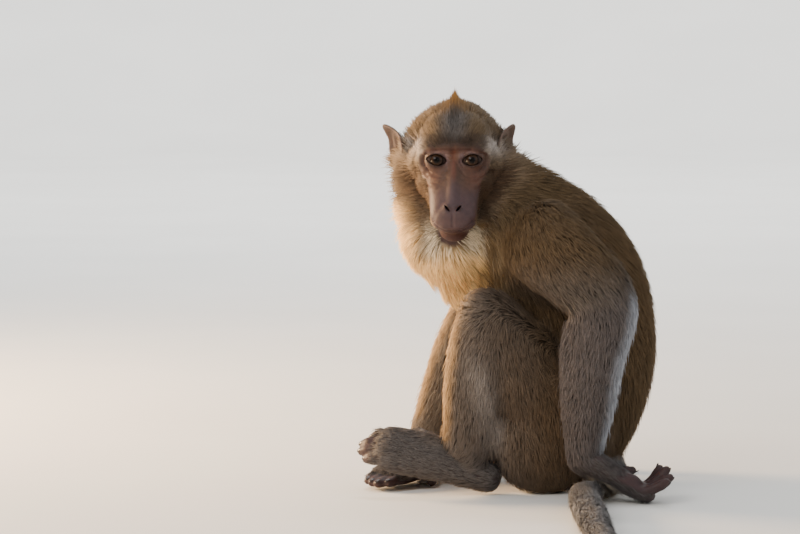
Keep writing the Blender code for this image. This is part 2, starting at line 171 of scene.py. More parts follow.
def loft(bm, stations, side=(0, 1, 0), steps=5, segments=24):
    """Adds a closed, round-ended limb to bm. A station is (centre, side radius, other radius)."""
    rows = rounded_ends(smooth_rows(stations, steps))
    side = Vector(side)
    rings = []
    for i, (centre, side_radius, other_radius) in enumerate(rows):
        along = (rows[min(i + 1, len(rows) - 1)][0] - rows[max(i - 1, 0)][0]).normalized()
        across = (side - side.dot(along) * along).normalized()
        other = along.cross(across)
        ring = []
        for k in range(segments):
            turn = 2 * math.pi * k / segments
            offset = across * side_radius * math.cos(turn) + other * other_radius * math.sin(turn)
            ring.append(bm.verts.new((centre + offset) * MM))
        rings.append(ring)
    for lower, upper in zip(rings, rings[1:]):
        banded(bm, lower, upper)
    bm.faces.new(rings[0][::-1])
    bm.faces.new(rings[-1])


# %% Ellipsoids and objects
def ellipsoid(bm, centre, radii, turn=None, detail=4):
    place = Matrix.Translation(Vector(centre) * MM)
    spin = (turn or Matrix.Identity(3)).to_4x4()
    size = Matrix.Diagonal((*(r * MM for r in radii), 1.0))
    bmesh.ops.create_icosphere(bm, subdivisions=detail, radius=1.0, matrix=place @ spin @ size)


def placed(name, data):
    """A new object of a mesh, light or camera, in the scene."""
    obj = bpy.data.objects.new(name, data)
    bpy.context.scene.collection.objects.link(obj)
    return obj


def object_from(bm, name):
    bmesh.ops.recalc_face_normals(bm, faces=bm.faces)
    mesh = bpy.data.meshes.new(name)
    bm.to_mesh(mesh)
    bm.free()
    return placed(name, mesh)


def remove(*objects):
    for obj in objects:
        bpy.data.objects.remove(obj, do_unlink=True)


# %% Fusing and cutting
def settle(obj):
    """Turns the object's modifiers into its own mesh."""
    bpy.context.view_layer.update()
    graph = bpy.context.evaluated_depsgraph_get()
    mesh = bpy.data.meshes.new_from_object(obj.evaluated_get(graph))
    obj.modifiers.clear()
    obj.data = mesh


def melted(obj, voxel, smoothing):
    """Remeshes the object at a grain of voxel mm, smooths it and settles it."""
    remesh = obj.modifiers.new("Melt", "REMESH")
    remesh.mode = "VOXEL"
    remesh.voxel_size = voxel * MM
    relax = obj.modifiers.new("Relax", "SMOOTH")
    relax.factor = 0.5
    relax.iterations = smoothing
    settle(obj)
    return obj


def fused(bm, name, voxel, smoothing):
    """One closed skin round everything in bm."""
    return melted(object_from(bm, name), voxel, smoothing)


def boolean(obj, other, operation):
    """Joins other to obj or cuts it away, and removes it."""
    change = obj.modifiers.new(operation.title(), "BOOLEAN")
    change.operation = operation
    change.solver = "MANIFOLD"
    change.object = other
    settle(obj)
    remove(other)


def thinned(obj, share):
    """Fewer triangles, taken first from where the surface is nearly flat."""
    thin = obj.modifiers.new("Thin", "DECIMATE")
    thin.ratio = share
    settle(obj)


# %% [markdown]
# NumPy reads and writes a whole mesh at once, which keeps the script fast. The little helpers below
# stand between Blender's mesh and plain arrays, and make soft masks, noise and distances from lines.

# %% Meshes as arrays
def read(items, name, width, kind=np.float32):
    """One property of all of a mesh's corners, edges or faces, as rows of width numbers."""
    flat = np.empty(len(items) * width, kind)
    items.foreach_get(name, flat)
    return flat.reshape(-1, width)


def points_of(mesh):
    return read(mesh.vertices, "co", 3).astype(float) / MM


def normals_of(mesh):
    return read(mesh.vertex_normals, "vector", 3).astype(float)


def edges_of(mesh):
    return read(mesh.edges, "vertices", 2, np.int32)


def set_points(mesh, points):
    mesh.vertices.foreach_set("co", (points * MM).astype(np.float32).ravel())
    mesh.update()


# %% Soft masks and noise
def spread(values, edges, rounds):
    """Evens values out over the mesh: each corner takes on the mean of its neighbours."""
    values = np.array(values, float)
    flat = values.reshape(len(values), -1)
    a, b = edges.T
    ends = np.r_[a, b]
    others = np.r_[b, a]
    degree = np.maximum(np.bincount(ends, minlength=len(flat)), 1)
    for _ in range(rounds):
        for column in range(flat.shape[1]):
            total = np.bincount(ends, weights=flat[others, column], minlength=len(flat))
            flat[:, column] = 0.4 * flat[:, column] + 0.6 * total / degree
    return flat.reshape(values.shape)


def unit(vectors):
    return vectors / np.maximum(np.linalg.norm(vectors, axis=1, keepdims=True), 1e-9)


def ramp(values, low, high):
    """0 below low, 1 above high, smooth between. low may be the greater of the two."""
    t = np.clip((np.asarray(values, float) - low) / (high - low), 0, 1)
    return t * t * (3 - 2 * t)


def bump(values, middle, width):
    """1 at middle, falling off smoothly to both sides."""
    return np.exp(-(((np.asarray(values, float) - middle) / width) ** 2))


def noise(points, scale, seed):
    """Smooth random numbers from -1 to 1 that change over about scale mm."""
    cells = 24  # then the pattern repeats
    grid = np.random.default_rng(seed).uniform(-1, 1, (cells, cells, cells))
    place = points / scale
    cell = np.floor(place).astype(int)
    t = place - cell
    t = t * t * (3 - 2 * t)
    total = np.zeros(len(points))
    for corner in range(8):
        step = np.array([corner & 1, corner >> 1 & 1, corner >> 2 & 1])
        weight = np.prod(np.where(step, t, 1 - t), axis=1)
        i, j, k = ((cell + step) % cells).T
        total += weight * grid[i, j, k]
    return total


# %% Places on the head and along a line
def head_axes(points):
    """The points in the head's own axes: columns f, s, u."""
    return (points - np.array(EYE_LINE)) @ np.array(HEAD_TURN)


def line_place(points, line):
    """For each point: distance to the line, share of the line's length, its direction, the offset."""
    line = np.array([tuple(p) for p in line], float)
    lengths = np.linalg.norm(np.diff(line, axis=0), axis=1)
    starts = np.r_[0, np.cumsum(lengths)[:-1]]
    best = np.full(len(points), 1e9)
    share = np.zeros(len(points))
    way = np.zeros((len(points), 3))
    offset = np.zeros((len(points), 3))
    for i, length in enumerate(lengths):
        direction = (line[i + 1] - line[i]) / length
        t = np.clip((points - line[i]) @ direction, 0, length)
        away = points - (line[i] + t[:, None] * direction)
        distance = np.linalg.norm(away, axis=1)
        nearer = distance < best
        best[nearer] = distance[nearer]
        share[nearer] = ((starts[i] + t) / lengths.sum())[nearer]
        way[nearer] = direction
        offset[nearer] = away[nearer]
    return best, share, way, offset


# %% [markdown]
# ## The outline of the coat
#
# Every CAD solid of flesh, fused into one hull, is where the tips of the hair should reach. A ray
# from the skin out to this hull gives the depth of the coat at any place, so the hair never has to
# be fitted by eye. A second shell leaves out the ears, hands, feet and seat pads, which are made
# anew further down.

# %% Hull of the coat and shell of the body
FLESH = [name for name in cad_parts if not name.startswith("eye")]
COATED = [name for name in FLESH if not name.startswith(("hand", "foot", "ear", "seat_pad"))]


def swollen(bm, name, amount):
    """Adds a CAD node to bm, swollen a little so that it overlaps its neighbours."""
    part = bmesh.new()
    part.from_mesh(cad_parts[name].data)
    bmesh.ops.remove_doubles(part, verts=part.verts, dist=0.01 * MM)
    part.normal_update()
    for vert in part.verts:
        vert.co += vert.normal * amount * MM
    passing = bpy.data.meshes.new("passing")
    part.to_mesh(passing)
    part.free()
    bm.from_mesh(passing)
    bpy.data.meshes.remove(passing)


def shell_of(names, title, voxel, smoothing):
    """One closed shell round the named CAD nodes."""
    bm = bmesh.new()
    for name in names:
        swollen(bm, name, 0.5)
    return fused(bm, title, voxel, smoothing)


hull = shell_of(FLESH, "hull", 2.6, 1)
hull_tree = BVHTree.FromObject(hull, bpy.context.evaluated_depsgraph_get())
body = shell_of(COATED, "body", 2.5, 9)
print("hull", len(hull.data.vertices), "corners; body", len(body.data.vertices), "corners")

# %% [markdown]
# ## The skin of the body
#
# The fused body shrinks along its own normals by the depth of the coat, which differs from part to
# part: a macaque's throat and breast carry long hair, its wrists hardly any. Each corner asks which
# CAD part is nearest, and then the answers are evened out over the mesh, so that depth changes
# gently from one part to the next.

# %% Nearest part
PARTS = sorted(FLESH)


def part_tree():
    """A search tree of the corners and face centres of all parts, and the part of each."""
    places = []
    for number, name in enumerate(PARTS):
        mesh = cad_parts[name].data
        places += [(v.co / MM, number) for v in mesh.vertices]
        places += [(face.center / MM, number) for face in mesh.polygons]
    tree = KDTree(len(places))
    for i, (place, _) in enumerate(places):
        tree.insert(place, i)
    tree.balance()
    return tree, [number for _, number in places]


TREE, TREE_PARTS = part_tree()


def nearest_part(points):
    return np.array([TREE_PARTS[TREE.find(p)[1]] for p in points.tolist()])


def by_part(parts, table, rest):
    """A value per corner, from a table keyed by the start of a part's name."""
    values = [next((v for start, v in table.items() if name.startswith(start)), rest) for name in PARTS]
    return np.array(values, float)[parts]


print("search tree of", len(TREE_PARTS), "places")

# %% Shrink the body by the depth of its coat
SHRINKING_STEPS = 6
CREST_BASE = 33  # mm above the eyes. Whatever is higher is hair
COAT_DEPTH = {
    "trunk": 9.0, "neck": 12.0, "upper_arm": 7.0, "forearm": 5.0, "thigh": 7.0, "shin": 5.0,
    "tail_5": 3.0, "tail": 4.5, "hand": 1.0, "foot": 1.2, "seat_pad": 0.5, "head": 13.0,
}

points = points_of(body.data)
edges = edges_of(body.data)
depth = spread(by_part(nearest_part(points), COAT_DEPTH, 6.0), edges, 8)
for _ in range(SHRINKING_STEPS):
    points = spread(points - normals_of(body.data) * depth[:, None] / SHRINKING_STEPS, edges, 1)
    set_points(body.data, points)
above = np.maximum(head_axes(points)[:, 2] - CREST_BASE, 0)
set_points(body.data, points - above[:, None] * np.array(UP))
print("body skin lies", round(float(depth.min()), 1), "to", round(float(depth.max()), 1), "mm deep")

# %% [markdown]
# ## The head
#
# The bare face has no coat to hide behind, so its shapes are the ones that the CAD head has, with a
# thinner skull behind. Brow, cheekbones, muzzle, nose and jaw fuse at a grain of 0.9 mm. Folds are
# then pressed in and raised as smooth grooves and ridges along short lines.

# %% Skull and face
LID = 1.5  # thickness of the eyelids


def face_blob(bm, f, s, u, radii):
    """An ellipsoid on the head, and its mirror image where it isn't in the middle."""
    for sign in (-1, 1) if s else (1,):
        ellipsoid(bm, on_head(f, sign * s, u), radii, HEAD_TURN, detail=5)


def face_bar(bm, stations):
    """A loft on the head. A station is (f, s, u, side radius, other radius)."""
    loft(bm, [(on_head(f, s, u), a, b) for f, s, u, a, b in stations], side=LEFT, segments=36)


def skull(bm):
    face_blob(bm, -38, 0, 2, (38, 31, 33))  # cranium
    face_blob(bm, -46, 0, -4, (28, 35, 30))  # back of the skull
    face_blob(bm, -17, 0, 14, (24, 29, 20))  # forehead
    face_blob(bm, -20, 20, -6, (18, 16, 19))  # cheekbones
    face_blob(bm, -10, 17, -20, (19, 14, 17))  # cheeks
    face_blob(bm, -4, 11, -36, (20, 11, 15))  # their lower ends
    face_blob(bm, -34, 14, -34, (22, 14, 18))  # angle of the jaw


def brow_bar(bm):
    """The bony arch over both eyes."""
    arch = []
    for s in (-25, -14, 0, 14, 25):
        reach = 1 - (s / 25) ** 2
        arch.append((on_head(-6 + 9.5 * reach, s, 10 + 4.5 * reach), 6, 6.5))
    loft(bm, arch, side=UP)


def muzzle(bm):
    face_bar(bm, [
        (-14, 0, -10, 33, 25), (2, 0, -18, 26, 16), (12, 0, -30, 22.5, 15), (25, 0, -41, 20.5, 13.5),
    ])
    face_blob(bm, 21, 8.5, -45.5, (13, 12.5, 11))  # upper lips
    face_bar(bm, [(2, 0, -3, 6.5, 7.5), (13, 0, -15, 6.5, 7.5), (23, 0, -27, 7.5, 7.5)])  # nose
    face_blob(bm, 29, 0, -32, (6.5, 10, 6))  # tip of the nose
    face_bar(bm, [(-22, 0, -42, 22, 15), (4, 0, -50, 17, 13), (17, 0, -57, 13.5, 11)])  # jaw


def lids_and_ear_roots(bm):
    for sign, ear_reach in ((-1, 36), (1, 26)):
        ellipsoid(bm, on_head(-1, sign * 15.5, 0), (EYE_RADIUS + LID,) * 3, detail=5)
        root = ((-36, 18, -8, 11), (-42, ear_reach, -6, 8.5))
        loft(bm, [(on_head(f, sign * s, u), r, r) for f, s, u, r in root], side=UP)


def bare_head():
    """All of these fused coarsely and smoothed, then fused again at a fine grain."""
    bm = bmesh.new()
    for shapes in (skull, brow_bar, muzzle, lids_and_ear_roots):
        shapes(bm)
    rough = fused(bm, "rough_head", 1.4, 12)
    bm = bmesh.new()
    bm.from_mesh(rough.data)
    remove(rough)
    return fused(bm, "head", 0.9, 1)


head = bare_head()
print("head", len(head.data.vertices), "corners")

# %% [markdown]
# A fold is a line in the face's own plane, s across and u up, with a depth and a width. Every
# corner moves along its normal by depth x exp(-(distance/width)^2), and the line is mirrored by
# taking s without its sign. A sculpting brush does exactly this.

# %% Folds of the face
FOLDS = (
    # (line of (s, u), amount in mm, width in mm, how far forwards f the fold begins)
    (((7, 7), (15, 11.5), (24, 8)), -0.7, 1.3, -12),  # crease between lid and brow
    (((6, -5), (11, -10), (19, -10.5), (26, -5)), -0.7, 1.1, -12),  # under the eye
    (((7, -10), (13, -15.5), (22, -15), (29, -8)), -0.7, 1.4, -14),  # second one, on the cheek
    (((10, -16), (16, -21), (25, -21)), -0.4, 1.4, -14),
    (((6, -27), (11, -31), (16, -39), (19, -47)), -0.4, 1.8, 0),  # from the nose to the mouth
    (((5.5, -32), (5.5, -34)), 0.9, 3.0, 15),  # wing of the nostril
    (((0, -36), (0, -46)), -0.7, 1.3, 20),  # groove of the upper lip
    (((0, -52), (7, -52), (13, -50), (18, -46)), -1.9, 1.1, 2),  # mouth
    (((0, -48.5), (8, -48)), 0.6, 2.2, 20),  # upper lip
    (((0, -57), (8, -56)), 0.9, 2.6, 10),  # lower lip
    (((0, 15), (0, 9)), -0.9, 2.2, -5),  # between the brows
    (((26, -24), (27, -28)), -1.2, 6.0, -14),  # hollow of the cheek
)


def pressed(points, normals, folds):
    """The points moved in or out along their normals by the folds near them."""
    f, s, u = head_axes(points).T
    flat = np.column_stack([np.abs(s), u, np.zeros(len(s))])
    moved = np.zeros(len(points))
    for line, amount, width, front in folds:
        distance = line_place(flat, [(a, b, 0) for a, b in line])[0]
        moved += amount * np.exp(-((distance / width) ** 2)) * ramp(f, front - 2, front + 2)
    return points + normals * moved[:, None]


points = pressed(points_of(head.data), normals_of(head.data), FOLDS)
set_points(head.data, points)
print(len(FOLDS), "folds pressed into the face")

# %% [markdown]
# The eyeballs' sockets are cut out of the face with a ball a hair larger than the eye, and an
# almond-shaped prism opens each pair of lids. The animal looks up from a bowed head, so the almond
# is laid out square to its gaze and not to its face.

# %% The opening between the lids
GAZE_SIDE = (LEFT - LEFT.dot(GAZE) * GAZE).normalized()
GAZE_UP = GAZE.cross(GAZE_SIDE)
LID_HALF_WIDTH = 9.2
UPPER_LID, LOWER_LID = 5.2, 5.0  # how far each lid is from the middle of the opening


def almond(sign):
    """Prism along the gaze whose outline is the opening between the lids."""
    eye = EYES["left" if sign > 0 else "right"]
    bm = bmesh.new()
    rings = []
    for reach in (3.0, 26.0):
        ring = []
        for k in range(40):
            turn = 2 * math.pi * k / 40
            across = math.cos(turn)
            height = math.sin(turn)
            x = LID_HALF_WIDTH * across * (1 - 0.10 * height * height)
            y = (UPPER_LID if height > 0 else LOWER_LID) * height * (1 - 0.25 * abs(across) ** 3)
            y += 0.09 * x  # the inner corner is the lower one
            place = eye + GAZE * reach + GAZE_SIDE * sign * x + GAZE_UP * y
            ring.append(bm.verts.new(place * MM))
        rings.append(ring)
    banded(bm, *rings)
    bm.faces.new(rings[0][::-1])
    bm.faces.new(rings[1])
    return object_from(bm, "almond")


# %% Cut the sockets, the openings and the nostrils
for sign, side in ((1, "left"), (-1, "right")):
    bm = bmesh.new()
    ellipsoid(bm, EYES[side], (EYE_RADIUS + 0.15,) * 3, detail=5)
    boolean(head, object_from(bm, "socket"), "DIFFERENCE")
    boolean(head, almond(sign), "DIFFERENCE")
    bm = bmesh.new()
    slant = Matrix.Rotation(math.radians(44 * sign), 3, FORWARD)
    ellipsoid(bm, on_head(33, 4.6 * sign, -32), (5, 3.5, 1.2), slant @ HEAD_TURN, detail=3)
    boolean(head, object_from(bm, "nostril"), "DIFFERENCE")
print("head with sockets", len(head.data.vertices), "corners")

# %% [markdown]
# ## Ears
#
# A macaque's ear is a thin cup with a rolled rim and a point at the top. It is a disc of rings whose
# outer rings curl forwards, given its thickness by a Solidify modifier.

# %% Ears
def ear_relief(share, turn):
    """How far the cup of the ear stands out, at a share of its radius and a turn round it."""
    rim = 1.6 * math.exp(-(((share - 0.93) / 0.09) ** 2)) * (0.4 + 0.6 * max(math.cos(turn), 0))
    fold = 1.5 * math.exp(-(((share - 0.62) / 0.10) ** 2)) * max(0.0, math.cos(turn - 0.6))
    return -6 * (1 - share**2) + rim + fold


def ear(sign, apart, splay, flare):
    """apart is how far out it stands, and flare how far its pointed tip is drawn to the side."""
    height, width, sharpness = 18.0, 15.0, 0.38
    splay = math.radians(splay)
    rearwards = -FORWARD * math.cos(splay) + LEFT * sign * math.sin(splay)
    outwards = LEFT * sign * math.cos(splay) + FORWARD * math.sin(splay)
    centre = on_head(-38, sign * apart, -5) + rearwards * 6
    bm = bmesh.new()
    rings, segments = 14, 56
    middle = bm.verts.new((centre - outwards * 6) * MM)
    previous = None
    for ring in range(1, rings + 1):
        share = ring / rings
        verts = []
        for k in range(segments):
            turn = 2 * math.pi * k / segments
            back, up = math.cos(turn), math.sin(turn)
            point = sharpness * max(0.0, math.cos(turn - math.radians(58))) ** 9
            reach = share * (1 + point)
            flat = centre + rearwards * back * width * reach + UP * up * height * reach
            drawn = flare * (point / sharpness) * share**4
            verts.append(bm.verts.new((flat + outwards * (ear_relief(share, turn) + drawn)) * MM))
        if previous:
            banded(bm, previous, verts)
        else:
            for k in range(segments):
                bm.faces.new((middle, verts[(k + 1) % segments], verts[k]))
        previous = verts
    plate = object_from(bm, "ear")
    shell = plate.modifiers.new("Shell", "SOLIDIFY")
    shell.thickness = 1.7 * MM
    shell.offset = 0.0
    return melted(plate, 0.7, 1)


boolean(head, ear(1, 40.5, 22, 4.5), "UNION")
boolean(head, ear(-1, 50.5, 25, 8.0), "UNION")
print("head with ears", len(head.data.vertices), "corners")

# %% [markdown]
# ## Hands and feet
#
# Each finger is one tapering loft with a slightly thicker knuckle at each joint and a soft pad at
# its tip. A nail is placed on the outside of each last bone while the finger is being made, since
# that is when its direction is known.

# %% Fingers and toes
NAILS = []


def digit(bm, root, towards, curl_towards, lengths, curls, radius):
    """A finger or toe: each bone turns by its curl towards curl_towards."""
    direction = towards.normalized()
    axis = direction.cross(curl_towards).normalized()
    point = root.copy()
    stations = [(point.copy(), radius * 1.0, radius)]
    for number, (bone, curl) in enumerate(zip(lengths, curls)):
        direction = Matrix.Rotation(math.radians(curl), 3, axis) @ direction
        waist = point + direction * bone * 0.5
        point = point + direction * bone
        last = number == len(lengths) - 1
        stations.append((waist, radius * (0.98 if last else 0.9), radius * 0.86))
        stations.append((point.copy(), radius * (0.8 if last else 1.0), radius * (0.72 if last else 0.92)))
    loft(bm, stations, side=axis, steps=3, segments=16)
    palm_side = axis.cross(direction)
    if palm_side.dot(curl_towards) < 0:
        palm_side = -palm_side
    NAILS.append((point, direction, axis, -palm_side, radius))


def forwards_turn(forwards, across):
    """Lays an ellipsoid's first radius along forwards and its second along across."""
    return Matrix((forwards, across, forwards.cross(across))).transposed()


# %% A hand
def hand(bm, wrist, knuckles, palmar, thumb_side, curls):
    """Palm, four fingers and thumb. palmar points out of the palm, thumb_side towards the thumb."""
    forwards = (knuckles - wrist).normalized()
    across = (thumb_side - thumb_side.dot(forwards) * forwards).normalized()
    middle = wrist.lerp(knuckles, 0.5)
    loft(bm, [(wrist, 12.5, 12.5), (middle, 17.5, 10), (knuckles, 19, 7.5)], side=across)
    heel = wrist.lerp(knuckles, 0.25) + palmar * 4
    pad = wrist.lerp(knuckles, 0.8) + palmar * 3.5 - across * 9
    cushions = (
        (heel - across * 7, (13, 8, 7)),
        (heel + across * 8 + forwards * 4, (14, 7.5, 7)),
        (pad, (9.5, 7.5, 7)),
    )
    for centre, radii in cushions:
        ellipsoid(bm, centre, radii, forwards_turn(forwards, across))
    for offset, length, curl in zip((14.5, 5.0, -4.8, -13.8), (24, 28, 27, 23), curls):
        fan = math.radians(3.0 * offset / 5)
        towards = forwards * math.cos(fan) + across * math.sin(fan)
        bones = (length * 0.46, length * 0.3, length * 0.24)
        digit(bm, knuckles + across * offset, towards, palmar, bones, curl, 5.2)
    thumb_root = wrist.lerp(knuckles, 0.45) + across * 14
    thumb_way = forwards * 0.75 + across * 0.6 + palmar * 0.2
    digit(bm, thumb_root, thumb_way, palmar, (14, 10), (5, 15), 5.0)


# %% A foot
def foot(bm, heel, ball_of_foot, sole, big_toe_side, curl, lengths, big_toe):
    """Sole, four toes and the big toe, which stands apart as a thumb does.

    big_toe is how far it reaches towards the sole, and how much its last bone curls.
    """
    forwards = (ball_of_foot - heel).normalized()
    across = (big_toe_side - big_toe_side.dot(forwards) * forwards).normalized()
    arch = heel.lerp(ball_of_foot, 0.5) - sole * 3
    loft(bm, [(heel, 12.5, 12), (arch + across * 2.5, 20, 12.2), (ball_of_foot, 22, 9.2)], side=across)
    for offset, length in zip((14.5, 5.0, -4.8, -14.0), lengths):
        fan = math.radians(-offset * 0.5)
        towards = forwards * math.cos(fan) + across * math.sin(fan)
        bones = (length * 0.45, length * 0.3, length * 0.25)
        digit(bm, ball_of_foot + across * offset, towards, sole, bones, curl, 5.2)
    toe_root = heel.lerp(ball_of_foot, 0.52) + across * 15
    toe_way = forwards * 0.8 + across * 0.45 + sole * big_toe[0]
    digit(bm, toe_root, toe_way, sole, (20, 15), (5, big_toe[1]), 5.9)


# %% Both hands, both feet and the seat pads
PALM_SIDE = {  # the way that each palm and sole faces
    "hand_left": Vector((0.5, 0, 0.86)), "hand_right": Vector((0, 0, -1)),
    "foot_left": Vector((0.1, 0.80, -0.58)), "foot_right": Vector((0, 0, -1)),
}
THUMB_SIDE = {
    "hand_left": Vector((0, 1, 0)), "hand_right": Vector((0, -1, 0)),
    "foot_left": Vector((0, 0.58, 0.80)), "foot_right": Vector((1, -0.5, 0)),
}
FINGER_CURLS = {"left": ((66, 16, 10), (60, 12, 8), (50, 8, 5), (48, 6, 5)), "right": ((-18, 0, 4),) * 4}
TOES = {  # curl of the bones, length of each toe, and how the big toe reaches and curls
    "left": ((12, 22, 22), (23, 31, 31, 25), (0.25, 25)),
    "right": ((6, -2, 2), (28, 33, 31, 26), (0.02, 6)),
}
bm = bmesh.new()
for side in SIDES:
    name = f"hand_{side}"
    hand(bm, WRIST[side], KNUCKLES[side], PALM_SIDE[name], THUMB_SIDE[name], FINGER_CURLS[side])
for side in SIDES:
    name = f"foot_{side}"
    foot(bm, HEEL[side], BALL[side], PALM_SIDE[name], THUMB_SIDE[name], *TOES[side])
for side in SIDES:  # flesh of the ankles and wrists
    loft(bm, [(ANKLE[side] + Vector((0, 0, 14)), 14, 17), (HEEL[side].lerp(BALL[side], 0.16), 12.5, 13)])
    loft(bm, [(WRIST[side] + Vector((0, 0, 16)), 11, 12.5), (WRIST[side], 12, 12)])
for place in SEAT_PADS:
    ellipsoid(bm, place, SEAT_PAD_RADII)
print("fingers and toes", len(NAILS))

# %% [markdown]
# Body, hands and feet fuse into one skin, which is thinned where it is flat, and the finer head is
# joined to it. Nothing may reach below the floor.

# %% One skin
FLOOR_GAP = 0.3
bm.from_mesh(body.data)
remove(body)
skin = fused(bm, "skin", 1.5, 3)
thinned(skin, 0.36)
thinned(head, 0.50)
boolean(skin, head, "UNION")
points = points_of(skin.data)
points[:, 2] = np.maximum(points[:, 2], FLOOR_GAP)
set_points(skin.data, points)
print("skin", len(skin.data.vertices), "corners")

# %% [markdown]
# ## Facts about every corner of the skin
#
# The coat needs to know, at each place, how deep it is, which way the hair lies, how long and how
# dense it is, and its colour. All of these are worked out once for the corners of the skin, and
# both the skin and the coat read them, so the markings of the two always agree.

# %% Part, side and depth at each corner
P = points_of(skin.data)
N = normals_of(skin.data)
E = edges_of(skin.data)
F_AXIS, S_AXIS, U_AXIS = head_axes(P).T
TILT = HEAD_PITCH + GAZE_RISE  # of the gaze against the head's own forward axis
SEEN_UP = round(math.cos(TILT), 3) * U_AXIS - round(math.sin(TILT), 3) * F_AXIS  # height across the gaze
SKIN_PART = nearest_part(P)
PART_NAMES = np.array(PARTS)[SKIN_PART]


def is_part(*starts):
    """Which corners belong to parts whose names start like this."""
    return np.array([name.startswith(starts) for name in PART_NAMES])


def near_part(softness, *starts):
    """1 on these parts, fading out across their edges, more widely with more softness."""
    return spread(is_part(*starts).astype(float), E, softness)


CHIN = is_part("neck", "trunk") & (F_AXIS > -8) & (U_AXIS > -80) & (np.abs(S_AXIS) < 24)
HEAD = is_part("head", "ear", "eye") | CHIN
EAR = is_part("ear")


def coat_depths():
    """How far it is from each corner, along its normal, to the hull of the coat."""
    most = by_part(SKIN_PART, {k: v * 1.7 for k, v in COAT_DEPTH.items()}, 10.0)
    found = np.zeros(len(P))
    for i, (place, normal) in enumerate(zip((P * MM).tolist(), N.tolist())):
        hit = hull_tree.ray_cast(place, normal, 0.05)[3]
        found[i] = hit / MM if hit else 0.5
    return spread(np.clip(found, 0.5, most), E, 8)


COAT = coat_depths()
print("coat depth", [round(float(np.percentile(COAT, q)), 1) for q in (5, 50, 95)], "mm")

# %% [markdown]
# The bare places are the face, the palms and soles, the ends of the fingers and toes, the seat pads
# and the inside of the ears. The edge of the face is given as its half width at each height.

# %% Bare face, palms and soles
FACE_HEIGHTS = (-77, -71, -60, -50, -40, -30, -20, -8, 0, 6, 10, 13)
FACE_HALF_WIDTHS = (0, 13, 17.5, 19.5, 20.5, 21.5, 24.5, 30, 32, 30, 25, 0)
face_edge = np.interp(SEEN_UP, FACE_HEIGHTS, FACE_HALF_WIDTHS) - np.abs(S_AXIS)
face_edge += 1.6 * noise(P, 5, 5) + 1.0 * noise(P, 2.5, 6)  # hair creeps over the edge unevenly
face_back = np.interp(SEEN_UP, (-75, -62, -50, -35, -20), (4, 0, -5, -12, -20))
FACE = HEAD * ramp(face_edge, -2.0, 2.0) * ramp(F_AXIS - face_back, -5, 3)
BARE = FACE.copy()
for part, palmar in PALM_SIDE.items():
    kind, side = part.split("_")
    front, back = (KNUCKLES[side], WRIST[side]) if kind == "hand" else (BALL[side], HEEL[side])
    way = np.array((front - back).normalized())
    beyond = (P - np.array(front)) @ way
    if kind == "hand":
        palm = ramp(N @ np.array(palmar), -0.25, 0.2) * ramp((P - np.array(back)) @ way, 24, 38)
        tips = ramp(beyond, 0, 10)
    else:
        palm = ramp(N @ np.array(palmar), 0.2, 0.5)
        tips = ramp(beyond, 11, 19)
    BARE = np.where(is_part(part), np.maximum(palm, tips), BARE)

# %% Seat pads and the inside of the ears
reaches = [np.linalg.norm((P - np.array(pad)) / np.array(SEAT_PAD_RADII), axis=1) for pad in SEAT_PADS]
FROM_PAD = np.minimum(*reaches)  # 0 in the middle of a seat pad and 1 at its surface
BARE = np.maximum(BARE, ramp(FROM_PAD, 1.25, 1.08))
for sign in (1, -1):
    inner = np.array(LEFT * sign * 0.6 + FORWARD * 0.8)
    lining = np.maximum(BARE, 0.85 * ramp(N @ inner, -0.1, 0.3))
    BARE = np.where(EAR & (S_AXIS * sign > 0), lining, BARE)
BARE = spread(BARE, E, 2)
print("bare share of the skin's corners", round(float((BARE > 0.5).mean()), 2))

# %% [markdown]
# Hair lies away from the face, down the neck and back, and along each limb towards its end. On the
# forehead it fans out and up from between the brows. Each part follows its own line of joints, and
# the directions are then laid flat against the skin and evened out, so that one flow turns gently
# into the next.

# %% Lie of the hair
DOWN = np.array((0.15, 0.0, -1.0))
LINES = {"trunk": SPINE, "neck": SPINE, "tail": TAIL_LINE}
for side in SIDES:
    arm_line = [SHOULDER[side], ELBOW[side], WRIST[side], KNUCKLES[side]]
    leg_line = [HIP[side], KNEE[side], ANKLE[side]]
    for part in ("upper_arm", "forearm"):
        LINES[f"{part}_{side}"] = arm_line
    for part in ("thigh", "shin"):
        LINES[f"{part}_{side}"] = leg_line
    LINES[f"hand_{side}"] = [WRIST[side], KNUCKLES[side], KNUCKLES[side] * 2 - WRIST[side]]
    LINES[f"foot_{side}"] = [HEEL[side], BALL[side]]


def turned_to(flow, way, mask):
    """The flow, led over to another way where the mask is on."""
    mask = mask[:, None]
    return flow * (1 - mask) + way * mask


def body_flow():
    """Along each part's line, but straight down the breast, and outwards below the throat."""
    flow = np.tile(DOWN, (len(P), 1))
    for part, line in LINES.items():
        here = is_part(part)
        if here.any():
            flow[here] = line_place(P[here], line)[2]
    flow = turned_to(flow, DOWN, ramp(-N[:, 0], 0.0, 0.6) * is_part("trunk", "neck"))
    haunch = 0.9 * is_part("thigh") * ramp(N[:, 2], 0.75, 0.35)
    flow = turned_to(flow, np.array((0.3, 0.0, -1.0)), haunch)
    collar = is_part("neck", "trunk", "upper_arm") * ramp(-N[:, 0], 0.1, 0.5) * ramp(N[:, 2], -0.1, 0.4)
    collar = collar * ramp(P[:, 2], 195, 215)
    outwards = np.column_stack([
        np.full(len(P), 0.1), np.sign(P[:, 1] + 8) * 0.9, np.full(len(P), -0.75),
    ])
    return turned_to(flow, outwards, collar)


